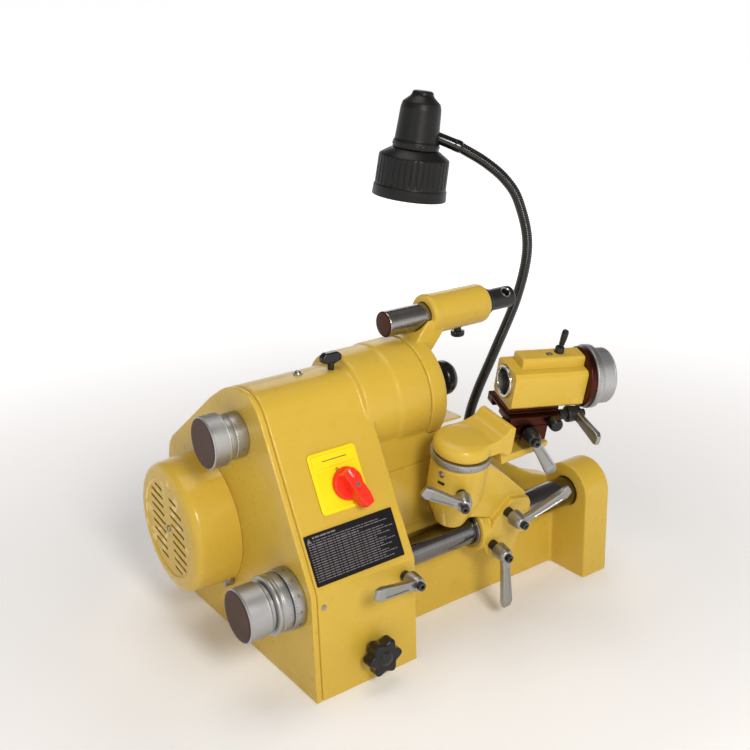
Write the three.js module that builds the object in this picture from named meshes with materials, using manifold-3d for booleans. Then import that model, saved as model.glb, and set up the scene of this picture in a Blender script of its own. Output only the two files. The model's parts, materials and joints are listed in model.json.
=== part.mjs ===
// Bench tool and drill grinder: belt-driven spindle, swivelling workhead, wheel dresser, lamp.
// Millimetres, +Z up. The casting is drawn from its own front-left bottom corner and the
// whole machine is then moved so that the origin lies on the underside of the bed.
import * as THREE from 'three';
import Module from 'manifold-3d';

const wasm = await Module();
wasm.setup();

const SHIFT = new THREE.Vector3(-200, -130, 0);
const GAP = 0.3;

// axes that run left to right, given as [y, z]
const SPINDLE = [116.4, 234.5];
const BAR = [37, 97];
const MOTOR = [195.2, 119];
const DRESSER = [112, 310];

// casting
const HOUSING_W = 117;
const COVER_T = 6;
const PANEL_ANGLE = 1.1154;
const PANEL_FOOT = [0, 112.8];
const WALL_BACK = 92;
const WALL_FRONT = 68;
const SILL_FRONT = 57.6;
const SILL_TOP = 72;
const BED_LEN = 394;
const PILLAR_X = 358;
const DRUM_R = 56;
const DRUM_END = 188;
const COVER_END = 209;
const COVER_R = 58;

// running parts
const BAR_R = 16;
const QUILL_R = 24;
const SPINDLE_R = 9;
const WHEEL_R = 50;
const MOTOR_PULLEY_R = 33.6;
const SPINDLE_PULLEY_R = 18.1;

// swivelling carriage
const CARRIAGE_X = 187;
const CARRIAGE_TILT = 0.2269;
const HEAD_TURN = -0.3229;
const HEAD_AT = [60.7, 16.5, 160];
const BODY_END = 79;

const PAINT = { color: 0xc9a640, roughness: 0.4, metalness: 0.1 };
const STEEL = { color: 0x9a9ca0, roughness: 0.35, metalness: 0.9 };
const ALU = { color: 0xb4b5b8, roughness: 0.45, metalness: 0.8 };
const CHROME = { color: 0xc8cacc, roughness: 0.12, metalness: 1 };
const BLACKENED = { color: 0x35201b, roughness: 0.4, metalness: 0.5 };
const BLACK = { color: 0x17171a, roughness: 0.5, metalness: 0 };
const RUBBER = { color: 0x1b1b1b, roughness: 0.85, metalness: 0 };
const ABRASIVE = { color: 0xd9d2c6, roughness: 0.95, metalness: 0 };
const CASTING = { color: 0x74777a, roughness: 0.6, metalness: 0.4 };
const RED = { color: 0xc32a22, roughness: 0.4, metalness: 0 };
const YELLOW = { color: 0xe6c81e, roughness: 0.5, metalness: 0 };
const GLASS = { color: 0xf4f1e6, roughness: 0.2, metalness: 0 };

// ---------------------------------------------------------------- solid helpers

function toSolid(geometry) {
  const g = geometry.index ? geometry : geometry.clone();
  const pos = g.getAttribute('position');
  const seen = new Map();
  const verts = [];
  const remap = [];
  for (let i = 0; i < pos.count; i += 1) {
    const p = [pos.getX(i), pos.getY(i), pos.getZ(i)];
    const key = p.map((c) => Math.round(c * 1e4)).join(',');
    if (!seen.has(key)) {
      seen.set(key, verts.length / 3);
      verts.push(...p);
    }
    remap.push(seen.get(key));
  }
  const count = g.index ? g.index.count : pos.count;
  const tris = [];
  for (let i = 0; i < count; i += 3) {
    const t = [0, 1, 2].map((k) => remap[g.index ? g.index.getX(i + k) : i + k]);
    if (t[0] !== t[1] && t[1] !== t[2] && t[0] !== t[2]) {
      tris.push(...t);
    }
  }
  const mesh = new wasm.Mesh({
    numProp: 3,
    vertProperties: new Float32Array(verts),
    triVerts: new Uint32Array(tris),
  });
  mesh.merge();
  return new wasm.Manifold(mesh);
}

function toGeometry(solid) {
  const m = solid.getMesh();
  const g = new THREE.BufferGeometry();
  g.setAttribute('position', new THREE.BufferAttribute(new Float32Array(m.vertProperties), 3));
  g.setIndex(new THREE.BufferAttribute(new Uint32Array(m.triVerts), 1));
  g.computeVertexNormals();
  return g;
}

function union(...solids) {
  return solids.reduce((a, b) => a.add(b));
}

function cut(body, ...tools) {
  return tools.reduce((a, b) => a.subtract(b), body);
}

// facets round a circle of radius r
function facets(r) {
  if (r > 45) {
    return 30;
  }
  if (r > 20) {
    return 20;
  }
  return r > 8 ? 16 : 12;
}

function lathe(profile, wanted) {
  const segments = wanted || facets(Math.max(...profile.map((p) => p[1])));
  const points = profile.map(([at, r]) => new THREE.Vector2(r, at));
  return new THREE.LatheGeometry(points, segments);
}

// profiles are [position along the axis, radius] pairs
function latheX(profile, y = 0, z = 0, segments = 0) {
  const g = lathe(profile, segments);
  g.rotateZ(-Math.PI / 2);
  g.translate(0, y, z);
  return toSolid(g);
}

function latheZ(profile, x = 0, y = 0, segments = 0) {
  const g = lathe(profile, segments);
  g.rotateX(Math.PI / 2);
  g.translate(x, y, 0);
  return toSolid(g);
}

function rodX(x0, x1, r, y = 0, z = 0, segments = 0) {
  return latheX([[x0, 0], [x0, r], [x1, r], [x1, 0]], y, z, segments);
}

function rodZ(z0, z1, r, x = 0, y = 0, segments = 0) {
  return latheZ([[z0, 0], [z0, r], [z1, r], [z1, 0]], x, y, segments);
}

function tubeX(x0, x1, outer, inner) {
  return cut(rodX(x0, x1, outer), rodX(x0 - 1, x1 + 1, inner));
}

function box(x0, x1, y0, y1, z0, z1) {
  const g = new THREE.BoxGeometry(x1 - x0, y1 - y0, z1 - z0);
  g.translate((x0 + x1) / 2, (y0 + y1) / 2, (z0 + z1) / 2);
  return toSolid(g);
}

function outline(points) {
  return new THREE.Shape(points.map(([a, b]) => new THREE.Vector2(a, b)));
}

function extrude(shape, depth) {
  return new THREE.ExtrudeGeometry(shape, { depth, bevelEnabled: false, curveSegments: 10 });
}

// points are [y, z]
function prismX(points, x0, x1) {
  const g = extrude(outline(points), x1 - x0);
  const m = new THREE.Matrix4().makeBasis(
    new THREE.Vector3(0, 1, 0),
    new THREE.Vector3(0, 0, 1),
    new THREE.Vector3(1, 0, 0),
  );
  g.applyMatrix4(m);
  g.translate(x0, 0, 0);
  return toSolid(g);
}

// points are [x, z]
function prismY(points, y0, y1) {
  const g = extrude(outline(points), y1 - y0);
  g.rotateX(Math.PI / 2);
  g.translate(0, y1, 0);
  return toSolid(g);
}

// points are [x, y]
function prismZ(points, z0, z1) {
  const g = extrude(outline(points), z1 - z0);
  g.translate(0, 0, z0);
  return toSolid(g);
}

function arc(cx, cy, r, from, to, steps) {
  const out = [];
  for (let i = 0; i <= steps; i += 1) {
    const a = ((from + ((to - from) * i) / steps) * Math.PI) / 180;
    out.push([cx + r * Math.cos(a), cy + r * Math.sin(a)]);
  }
  return out;
}

function place(parent, name, solid, look, at = [0, 0, 0], turn = [0, 0, 0]) {
  const mesh = new THREE.Mesh(toGeometry(solid), new THREE.MeshStandardMaterial(look));
  mesh.name = name;
  mesh.position.set(...at);
  mesh.rotation.set(...turn);
  parent.add(mesh);
}

// ---------------------------------------------------------------- casting

const HOUSING = [
  [0, 0], [0, 112.8], [70.5, 256.8], [76, 264], [84, 270.5], [94, 275.8], [105, 278.8],
  [116, 279.5], [128, 277.5], [144, 271], [172, 256], [220, 222], [275, 183], [284, 172],
  [289, 156], [289, 0],
];
const CAVITY = [
  [8, 10], [8, 111], [77, 252], [85, 261], [97, 268], [108, 271], [118, 271.3], [130, 267.8],
  [168, 248.5], [215, 215.5], [268, 178], [277, 168], [281, 153], [281, 10],
];

function bed() {
  const [sy, sz] = SPINDLE;
  const [by, bz] = BAR;
  const shell = prismX(HOUSING, COVER_T + GAP, HOUSING_W);
  const room = prismX(CAVITY, 0, HOUSING_W - 8);
  const drum = rodX(HOUSING_W - 6, DRUM_END, DRUM_R, sy, sz);
  const wall = prismY(
    [[110, 0], [370, 0], [370, 100], [339, 112], [196, 203], [150, 232], [110, 240]],
    WALL_FRONT, WALL_BACK,
  );
  const sill = box(110, 370, SILL_FRONT, WALL_FRONT + 1, 0, SILL_TOP);
  const floor = box(110, BED_LEN, SILL_FRONT + 4, 270, 0, 24);
  const arch = [[by - 32, 0], [by + 32, 0], ...arc(by, bz, 32, 0, 180, 18)];
  const pillar = prismX(arch, PILLAR_X, BED_LEN);
  const gland = rodX(62, HOUSING_W - 4, 24, by, bz);
  let body = union(cut(shell, room), drum, wall, sill, floor, pillar, gland);
  body = cut(
    body,
    rodX(55, HOUSING_W + 1, BAR_R + 0.4, by, bz),
    rodX(PILLAR_X - 1, 389, BAR_R + 0.4, by, bz),
    rodX(HOUSING_W - 10, 182, QUILL_R + 0.4, sy, sz),
    rodX(180, DRUM_END + 4, WHEEL_R + 3, sy, sz),
    rodX(DRUM_END, COVER_END + 0.6, COVER_R + 0.6, sy, sz),
    box(COVER_END, 268, 84, 140, 176, 260),
  );
  return body;
}

function endCover() {
  return cut(
    prismX(HOUSING, 0, COVER_T),
    rodX(-1, COVER_T + 1, 7, ...SPINDLE),
    rodX(-1, COVER_T + 1, 8, ...BAR),
    rodX(-1, COVER_T + 1, 30, ...MOTOR),
  );
}

function guardCover() {
  const [sy, sz] = SPINDLE;
  const [dy, dz] = DRESSER;
  const ring = rodX(DRUM_END + GAP, COVER_END, COVER_R, sy, sz);
  const neck = prismY([[191, 272], [208, 272], [222, 282], [236, 296], [236, 306], [214, 306]],
    dy - 17, dy + 17);
  const barrel = rodX(220, 298, 21, dy, dz);
  return cut(
    union(ring, neck, barrel),
    rodX(DRUM_END - 1, COVER_END + 1, WHEEL_R + 3.2, sy, sz),
    rodX(200, 303, 13.8, dy, dz),
  );
}

function sparkDeflector() {
  const start = COVER_END + GAP;
  const tray = box(start, 250, 88, 134, 196, 198.5);
  const lip = box(start, start + 2.5, 88, 134, 180, 198.5);
  return union(tray, lip);
}

function wallCover() {
  const r = 8;
  const pts = [
    ...arc(196 - r, 108 + r, r, -90, 0, 6), [196, 172], [121, 172], [121, 108],
  ];
  return prismY(pts, WALL_FRONT - 2.3, WALL_FRONT - GAP);
}

// ---------------------------------------------------------------- drive

function motorBody() {
  const can = rodX(COVER_T + 4, 80, 60, ...MOTOR);
  const foot = box(20, 74, MOTOR[0] - 34, MOTOR[0] + 34, 11, 70);
  return cut(union(can, foot), rodX(0, 90, 9, ...MOTOR));
}

function fanCowl() {
  const wall = 2.5;
  const outer = [
    [-0.4, 0], [-0.4, 69.5], [-32, 68.4], [-43, 64], [-48.9, 52.6], [-47.2, 50.8], [-47.2, 0],
  ];
  const inner = [
    [1, 0], [1, 66.6], [-31, 65.6], [-41, 61], [-44.6, 50], [-44.6, 0],
  ];
  const rev = (p) => p.slice().reverse();
  let cup = cut(latheX(rev(outer)), latheX(rev(inner)));
  for (let i = 0; i < 7; i += 1) {
    const h = -36 + i * 12;
    const w = Math.sqrt(47 * 47 - h * h);
    const a = Math.min(w, 33);
    const slit = [[9, -2.2], [a, 1.4], [a, 5.4], [9, 1.8]];
    const left = slit.map(([y, z]) => [-y, z + h]).reverse();
    const right = slit.map(([y, z]) => [y, z + h]);
    if (Math.abs(h) > 8) {
      cup = cut(cup, prismX(left, -52, -40), prismX(right, -52, -40));
    } else {
      cup = cut(cup, prismX(left.map(([y, z]) => [Math.min(y, -13), z]), -52, -40));
      cup = cut(cup, prismX(right.map(([y, z]) => [Math.max(y, 13), z]), -52, -40));
    }
  }
  return cup.add(tubeX(-44.8, -44.8 + wall, 13, 10));
}

function motorShaft() {
  return latheX([[-36, 0], [-36, 6], [8, 6], [8, 8], [82, 8], [82, 7], [106, 7], [106, 0]]);
}

function coolingFan() {
  const hub = tubeX(-32, -12, 14, 6.4);
  const plate = tubeX(-14, -11.5, 52, 6.4);
  const blades = [];
  for (let i = 0; i < 6; i += 1) {
    const g = new THREE.BoxGeometry(19, 3, 42);
    g.translate(-22, 0, 31);
    g.rotateX((i * Math.PI) / 3);
    blades.push(toSolid(g));
  }
  return cut(union(hub, plate, ...blades), rodX(-40, 0, 6.4));
}

function motorPulley() {
  const rim = [[-9, 0], [-9, MOTOR_PULLEY_R], [9, MOTOR_PULLEY_R], [9, 0]];
  return cut(latheX(rim), rodX(-10, 10, 7.4), rodX(3, 10, 27), tubeX(3, 10, 28, 13));
}

function spindlePulley() {
  return tubeX(-9, 9, SPINDLE_PULLEY_R, SPINDLE_R + 0.4);
}

function beltLoop(grow) {
  const [my, mz] = MOTOR;
  const [sy, sz] = SPINDLE;
  const big = MOTOR_PULLEY_R + grow;
  const small = SPINDLE_PULLEY_R + grow;
  const dist = Math.hypot(sy - my, sz - mz);
  const dir = (Math.atan2(sz - mz, sy - my) * 180) / Math.PI;
  const lean = (Math.acos((big - small) / dist) * 180) / Math.PI;
  return [
    ...arc(my, mz, big, dir + lean, dir + 360 - lean, 24),
    ...arc(sy, sz, small, dir - lean, dir + lean, 14),
  ];
}

function driveBelt() {
  return cut(prismX(beltLoop(3.4), 89, 101), prismX(beltLoop(0.5), 88, 102));
}

function spindle() {
  return rodX(70, 255, SPINDLE_R);
}

function quill() {
  return tubeX(108, 175, QUILL_R, SPINDLE_R + 0.4);
}

function wheelFlange() {
  return tubeX(178.5, 183.6, 22, SPINDLE_R + 0.35);
}

function grindingWheel() {
  const cup = [
    [184, 0], [184, 40], [186, 44], [207, WHEEL_R], [207, 38], [198, 34], [196, 32], [196, 0],
  ];
  return cut(latheX(cup), rodX(182, 202, SPINDLE_R + 0.35));
}

function wheelNut() {
  const clampFace = rodX(196.3, 208, 19, 0, 0, 6);
  const sleeve = rodX(207, 240, 13);
  return cut(union(clampFace, sleeve), rodX(190, 241, SPINDLE_R + 0.35));
}

function arborCap() {
  const p = [[240.4, 0], [240.4, 13], [242, 17.6], [244.5, 19], [251, 19], [256, 16.4], [258.5, 10],
    [258.5, 0]];
  return cut(latheX(p), rodX(238, 255.4, SPINDLE_R + 0.35));
}

// ---------------------------------------------------------------- feed knobs

function upperSleeve() {
  return tubeX(-18.6, -GAP, 22.5, 6.2);
}

function upperKnob() {
  const grip = latheX([[-37.4, 0], [-37.4, 23.8], [-36, 25.5], [-20, 25.5], [-19, 24.4], [-19, 0]]);
  return union(grip, rodX(-20, 64, 5.5));
}

function lowerFixedRing() {
  return tubeX(-12, -GAP, 29.5, 7.2);
}

function lowerDial() {
  const p = [[-28, 0], [-28, 27], [-26, 28.6], [-13.5, 28.6], [-12.4, 27.8], [-12.4, 0]];
  return cut(latheX(p), rodX(-30, -10, 6.6));
}

function lowerKnob() {
  const p = [[-56, 0], [-56, 24.2], [-54.6, 25.7], [-33, 25.7], [-32, 23], [-28.4, 23], [-28.4, 0]];
  return union(latheX(p), rodX(-29, 88, 6.2));
}

function slideBar() {
  return cut(rodX(62.5, 380, BAR_R), rodX(61, 104, 6.7));
}

// ---------------------------------------------------------------- clamp lever

// turns about its own Z, arm along +X and leaning outward
function clampLever(stem, lean, reach = 1) {
  const body = latheZ([
    [0, 0], [0, 5.4], [stem, 5.4], [stem, 8.6], [stem + 15, 7], [stem + 16, 4.2],
    [stem + 20.5, 4.2], [stem + 20.5, 0],
  ]);
  const side = [[0, 6], [20, 5.2], [54, 6.6], [61, 3.4]].map(([x, y]) => [x * reach, y]);
  const back = side.map(([x, y]) => [x, -y]).reverse();
  const arm = extrude(outline([...side.reverse(), ...back.reverse()]), 6.5);
  arm.rotateY(-lean);
  arm.translate(0, 0, stem + 8);
  return union(body, toSolid(arm));
}

// ---------------------------------------------------------------- carriage

function bracketBush() {
  const p = [[26, 0], [26, 20.6], [28.4, 20.6], [28.4, 18], [98, 18], [98, 0]];
  return cut(latheX(p), rodX(20, 100, BAR_R + 0.4));
}

function swivelBracket() {
  const clamp = rodX(28.8, 97, 25);
  const flange = prismY([[34, -12], [44, -30], [66, -34], [76, -24], [88, 20], [86, 36], [60, 42],
    [40, 20]], -24.8, 6);
  const boss = latheZ([[20, 0], [20, 14], [48, 26], [57, 28.6], [99.4, 28.6], [99.4, 0]]);
  const web = prismY([[0, 36], [28.8, 26], [60, 12], [92, 10], [84, 40], [56, 66], [24, 92],
    [0, 92]], -18, 18);
  return cut(
    union(clamp, flange, boss, web),
    rodX(20, 100, 18.4),
    rodZ(58, 101, 12.4),
  );
}

function bossRing() {
  return cut(rodZ(99.7, 106.6, 30.4), rodZ(99, 108, 12.4));
}

function swivelArm() {
  const crown = latheZ([[107, 0], [107, 29], [116, 29], [120.5, 26], [123, 19], [124, 0]]);
  const rise = prismY([[0, 107], [31, 107], [40, 101], [46, 101], [46, 133], [41, 133], [34, 126], [22, 122],
    [0, 121]], -24, 24);
  const tongue = prismY([[36, 101], [40, 88], [95, 90], [102, 93], [102, 97.5], [46, 97.5], [42, 102]],
    -19, 16);
  const pin = rodZ(60, 108, 12);
  return union(crown, rise, tongue, pin);
}

function tiltBase() {
  const slab = box(14, 41, -28, 28, -54, -37);
  const rail = prismX([[-13, -37.5], [13, -37.5], [17, -31], [-17, -31]], 14, 48);
  const g = lathe([[0, 0], [0, 13], [26, 13], [26, 0]]);
  g.rotateZ(-Math.PI / 2);
  g.rotateZ(-HEAD_TURN);
  const d = [46.6 - HEAD_AT[0], -2 - HEAD_AT[1]];
  const c = Math.cos(-HEAD_TURN);
  const s = Math.sin(-HEAD_TURN);
  g.translate(c * d[0] - s * d[1], s * d[0] + c * d[1], -44);
  const pivot = cut(toSolid(g), box(-60, 60, -60, 60, -37.3, 0));
  return union(slab, rail, pivot);
}

function dovetailSlide() {
  const block = box(-2, 55, -28, 28, -36.7, -27);
  const pad = box(0, 55, -19, 19, -28, -22.4);
  const groove = prismX([[-13.5, -37.5], [13.5, -37.5], [17.8, -30.6], [-17.8, -30.6]], -4, 57);
  return cut(union(block, pad), groove);
}

function slideScrew() {
  return latheZ([[0, 0], [0, 3], [2.7, 3], [2.7, 7], [11, 7], [13.2, 5.6], [13.2, 0]]);
}

function workheadBody() {
  const c = 5;
  const block = prismX([
    [-22 + c, -22], [22 - c, -22], [22, -22 + c], [22, 17.5 - c], [22 - c, 17.5],
    [-22 + c, 17.5], [-22, 17.5 - c], [-22, -22 + c],
  ], 0, BODY_END);
  const crest = prismX([[-9, 15], [13, 15], [13, 26], [11, 28], [-7, 28], [-9, 26]], 11, BODY_END);
  return cut(
    union(block, crest),
    rodX(-1, BODY_END + 1, 16.6),
    box(40, 47, -2, 4, 22, 30),
  );
}

function colletSleeve() {
  return tubeX(-2.5, 85.5, 16.2, 13.2);
}

function indexFlange() {
  return tubeX(BODY_END + 0.4, 85.6, 31, 16.6);
}

function indexDial() {
  const p = [[86, 0], [86, 32.6], [93, 32.6], [94, 31.4], [94, 0]];
  return cut(latheX(p), rodX(84, 95, 13.4));
}

function handKnob() {
  const p = [[94.4, 0], [94.4, 28.4], [108.4, 28.4], [110.4, 26.6], [110.4, 0]];
  return cut(latheX(p), rodX(92, 116, 13.4));
}

function indexLever() {
  const base = latheZ([[0, 0], [0, 5], [6, 4.4], [6, 0]]);
  const g = new THREE.BoxGeometry(6, 8, 22);
  g.translate(0, 0, 13);
  g.rotateY(0.12);
  return union(base, toSolid(g));
}

// ---------------------------------------------------------------- front controls

function starKnob() {
  const pts = [];
  for (let i = 0; i < 24; i += 1) {
    const a = (i * Math.PI) / 12;
    const r = 16.6 + 2.6 * Math.cos(6 * a);
    pts.push([r * Math.cos(a), r * Math.sin(a)]);
  }
  const head = prismZ(pts, 7, 20);
  return union(head, rodZ(0, 7.5, 8.5, 0, 0, 24), rodZ(19, 22, 7, 0, 0, 24));
}

function labelPlate() {
  return box(8.7, 106.8, 6, 53, 0.3, 1.1);
}

function switchPlate() {
  const r = 4;
  const pts = [
    ...arc(87 - r, 64.5 + r, r, -90, 0, 4), ...arc(87 - r, 122 - r, r, 0, 90, 4),
    ...arc(34 + r, 122 - r, r, 90, 180, 4), ...arc(34 + r, 64.5 + r, r, 180, 270, 4),
  ];
  return union(prismZ(pts, 0.3, 3), box(37, 84, 107, 119, 2, 4.4));
}

function switchKnob() {
  const disc = latheZ([[3.4, 0], [3.4, 16], [8, 15], [8, 0]]);
  const grip = prismZ([[-4.6, -26], [4.6, -26], [6.8, -17], [6.2, 13], [-6.2, 13], [-6.8, -17]], 7, 21);
  return union(disc, grip);
}

function topThumbKnob() {
  const wing = prismY([[-11, 9], [-11, 15], [-6, 19], [6, 19], [11, 15], [11, 9], [5, 7], [-5, 7]],
    -4, 4);
  return union(rodZ(0, 8, 3.4, 0, 0, 16), wing);
}

function oilCup() {
  return latheZ([[0, 0], [0, 4.6], [2, 4.6], [3.6, 3.4], [4.4, 0]]);
}

// ---------------------------------------------------------------- wheel dresser

function dresserBar() {
  return latheX([[168.6, 0], [168.6, 12.4], [169.6, 13.4], [298, 13.4], [298, 0]]);
}

// a turned piece across the holder, its low end up and toward the front
function slanted(profile) {
  const g = lathe(profile, 20);
  g.rotateX(-0.774);
  g.translate(327, 0, 0);
  return toSolid(g);
}

function diamondHolder() {
  const head = latheX([[298.4, 0], [298.4, 15], [304.5, 15], [307, 11.8], [338, 11.8], [340, 10.4],
    [340, 0]]);
  return cut(head, slanted([[-20, 0], [-20, 4.7], [20, 4.7], [20, 0]]));
}

function diamondTool() {
  return slanted([[-8, 0], [-5, 4.3], [9, 4.3], [9, 0]]);
}

function dresserScrew() {
  return latheZ([[-31, 0], [-31, 7], [-25, 7.6], [-25, 4], [-21.4, 4], [-21.4, 0]]);
}

// ---------------------------------------------------------------- lamp

const LAMP_FOOT = [339, 191];

function lampBase() {
  return latheZ([[24.3, 0], [24.3, 20], [30, 19], [33, 11], [44, 9], [44, 0]]);
}

function gooseneck() {
  const knots = [
    [0, 0, 44.4], [3, -0.4, 90], [8, -2, 139], [17, -8, 176], [33, -20, 225], [54, -36, 293],
    [61, -44, 352], [53, -38, 401], [41, -28.5, 427], [22, -15.5, 447.5], [0.2, -0.1, 464.3],
  ];
  const path = new THREE.CatmullRomCurve3(knots.map((k) => new THREE.Vector3(...k)));
  const ring = new THREE.Shape();
  for (let i = 0; i < 10; i += 1) {
    const a = (i * Math.PI) / 5;
    const p = [6 * Math.cos(a), 6 * Math.sin(a)];
    if (i === 0) {
      ring.moveTo(...p);
    } else {
      ring.lineTo(...p);
    }
  }
  ring.closePath();
  const g = new THREE.ExtrudeGeometry(ring, { steps: 26, extrudePath: path });
  return toSolid(g);
}

// the lamp head turns on this coupling; its X runs from the head down to the gooseneck
function lampCoupling() {
  return latheX([[0, 0], [0, 6.6], [19, 6.6], [20.6, 6], [20.6, 0]]);
}

function lampHousing() {
  const p = [
    [-6, 0], [-6, 26], [2, 26], [4, 24.6], [38, 22.6], [44, 21], [50, 14], [52, 12], [56, 11],
    [57, 0],
  ];
  const cavity = [[-7, 0], [-7, 22], [36, 19], [40, 0]];
  return cut(latheZ(p), latheZ(cavity));
}

function lampShade() {
  const p = [
    [-60, 0], [-60, 42], [-48, 41.4], [-47, 40], [-15, 39.4], [-6.4, 27], [-6.4, 0],
  ];
  const inner = [[-62, 0], [-62, 37], [-16, 35], [-9.4, 22.4], [-5, 22.4], [-5, 0]];
  return cut(latheZ(p), latheZ(inner));
}

function lampBulb() {
  const p = [
    [-46, 0], [-44, 10], [-36, 18], [-26, 20], [-16, 16], [-10, 12], [-4, 11], [30, 11], [30, 0],
  ];
  return latheZ(p);
}

// ---------------------------------------------------------------- assembly

const group = new THREE.Group();
const machine = new THREE.Group();
machine.position.copy(SHIFT);
group.add(machine);

place(machine, 'bed_casting', bed(), PAINT);
place(machine, 'end_cover', endCover(), PAINT);
place(machine, 'guard_cover', guardCover(), PAINT);
place(machine, 'spark_deflector', sparkDeflector(), PAINT);
place(machine, 'wall_cover', wallCover(), PAINT);

place(machine, 'motor_body', motorBody(), CASTING);
place(machine, 'fan_cowl', fanCowl(), PAINT, [0, ...MOTOR]);
place(machine, 'motor_shaft', motorShaft(), STEEL, [0, ...MOTOR]);
place(machine, 'cooling_fan', coolingFan(), BLACK, [0, ...MOTOR]);
place(machine, 'motor_pulley', motorPulley(), STEEL, [95, ...MOTOR]);
place(machine, 'drive_belt', driveBelt(), RUBBER);
place(machine, 'spindle_pulley', spindlePulley(), STEEL, [95, ...SPINDLE]);
place(machine, 'spindle', spindle(), STEEL, [0, ...SPINDLE]);
place(machine, 'quill', quill(), STEEL, [0, ...SPINDLE]);
place(machine, 'wheel_flange', wheelFlange(), STEEL, [0, ...SPINDLE]);
place(machine, 'grinding_wheel', grindingWheel(), ABRASIVE, [0, ...SPINDLE]);
place(machine, 'wheel_nut', wheelNut(), STEEL, [0, ...SPINDLE]);
place(machine, 'arbor_cap', arborCap(), BLACK, [0, ...SPINDLE]);

place(machine, 'upper_sleeve', upperSleeve(), ALU, [0, ...SPINDLE]);
place(machine, 'upper_knob', upperKnob(), ALU, [0, ...SPINDLE]);
place(machine, 'lower_fixed_ring', lowerFixedRing(), ALU, [0, ...BAR]);
place(machine, 'lower_dial', lowerDial(), ALU, [0, ...BAR]);
place(machine, 'lower_knob', lowerKnob(), ALU, [0, ...BAR]);
place(machine, 'slide_bar', slideBar(), CHROME, [0, ...BAR]);

const FRONT = Math.PI / 2;
const deg = (d) => (d * Math.PI) / 180;

// a lever on a face that looks toward -Y, its arm at an angle measured from +X
function addLever(parent, name, stem, x, y, z, angle, lean = 0.24, reach = 1) {
  const holder = new THREE.Group();
  holder.position.set(x, y, z);
  holder.rotation.set(FRONT, 0, 0);
  parent.add(holder);
  place(holder, name, clampLever(stem, lean, reach), ALU, [0, 0, 0], [0, 0, deg(angle)]);
}

addLever(machine, 'bar_lock_lever', 8, 104, -GAP, 98, 165);
place(machine, 'star_knob', starKnob(), BLACK, [66, -GAP, 32], [FRONT, 0, 0]);
place(machine, 'top_thumb_knob', topThumbKnob(), BLACK, [99, 104, 279.4]);
place(machine, 'oil_cup', oilCup(), STEEL, [66, 112, 280]);

const panel = new THREE.Group();
panel.position.set(0, ...PANEL_FOOT);
panel.rotation.set(PANEL_ANGLE, 0, 0);
machine.add(panel);
place(panel, 'label_plate', labelPlate(), BLACK);
place(panel, 'switch_plate', switchPlate(), YELLOW);
place(panel, 'switch_knob', switchKnob(), RED, [67, 87, 0], [0, 0, deg(20)]);

place(machine, 'dresser_bar', dresserBar(), STEEL, [0, ...DRESSER]);
place(machine, 'diamond_holder', diamondHolder(), BLACKENED, [0, ...DRESSER]);
place(machine, 'diamond_tool', diamondTool(), STEEL, [0, ...DRESSER]);
place(machine, 'dresser_screw', dresserScrew(), BLACKENED, [266, ...DRESSER]);

const carriage = new THREE.Group();
carriage.position.set(CARRIAGE_X, ...BAR);
carriage.rotation.set(CARRIAGE_TILT, 0, 0);
machine.add(carriage);
place(carriage, 'bracket_bush', bracketBush(), STEEL);
place(carriage, 'swivel_bracket', swivelBracket(), PAINT);
place(carriage, 'boss_ring', bossRing(), ALU);
place(carriage, 'swivel_arm', swivelArm(), PAINT);
const bossSide = new THREE.Group();
bossSide.rotation.set(0, 0, -0.54);
carriage.add(bossSide);
addLever(bossSide, 'boss_lever', 7, 0, -28.9, 75, 152, 0.24, 0.85);
addLever(carriage, 'flange_upper_lever', 9, 54.5, -25.2, 29.5, 36);
addLever(carriage, 'flange_lower_lever', 9, 41.5, -25.2, -8, -88);

const head = new THREE.Group();
head.position.set(...HEAD_AT);
head.rotation.set(0, 0, HEAD_TURN);
carriage.add(head);
place(head, 'tilt_base', tiltBase(), BLACKENED);
place(head, 'dovetail_slide', dovetailSlide(), BLACKENED);
place(head, 'slide_screw', slideScrew(), BLACKENED, [44.5, -28.3, -31.6], [FRONT, 0, 0]);
place(head, 'workhead_body', workheadBody(), PAINT);
place(head, 'collet_sleeve', colletSleeve(), STEEL);
place(head, 'index_flange', indexFlange(), BLACKENED);
place(head, 'index_dial', indexDial(), ALU);
place(head, 'hand_knob', handKnob(), ALU);
place(head, 'index_lever', indexLever(), BLACK, [55, 3, 28.3]);
addLever(head, 'tilt_lever', 2, 20.6, -28.3, -44.2, -56, 0.08, 0.78);
const slideEnd = new THREE.Group();
slideEnd.position.set(55.3, -20.5, -30.8);
slideEnd.rotation.set(0, Math.PI / 2, 0);
head.add(slideEnd);
place(slideEnd, 'slide_lever', clampLever(8, 0.05, 0.78), ALU, [0, 0, 0], [0, 0, deg(-86)]);

place(machine, 'lamp_base', lampBase(), BLACK, [...LAMP_FOOT, 0]);
place(machine, 'gooseneck', gooseneck(), RUBBER, [...LAMP_FOOT, 0]);
const LAMP_TURN = -0.623;
const LAMP_LEAN = 0.16;
const lamp = new THREE.Group();
lamp.position.set(331.2, 196.1, 472.4);
lamp.rotation.set(0, 0, LAMP_TURN);
machine.add(lamp);
place(lamp, 'lamp_coupling', lampCoupling(), BLACK, [-11.6, 0, 1.6], [0, 0.42, 0]);
const lean = new THREE.Group();
lean.rotation.set(0, LAMP_LEAN, 0);
lamp.add(lean);
const shade = new THREE.Group();
shade.position.set(-39.5, 0, -8);
lean.add(shade);
place(shade, 'lamp_housing', lampHousing(), BLACK);
place(shade, 'lamp_shade', lampShade(), BLACK);
place(shade, 'lamp_bulb', lampBulb(), GLASS);

export default group;
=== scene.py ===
"""Looks of the bench tool grinder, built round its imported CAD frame.

Shapes are drawn in millimetres in the same local frames as the parts themselves, and put()
turns them into metres in the row frame, on the body that the CAD node rides on.
"""
import json
import math

import bmesh
import bpy
from mathutils import Matrix, Vector


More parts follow.
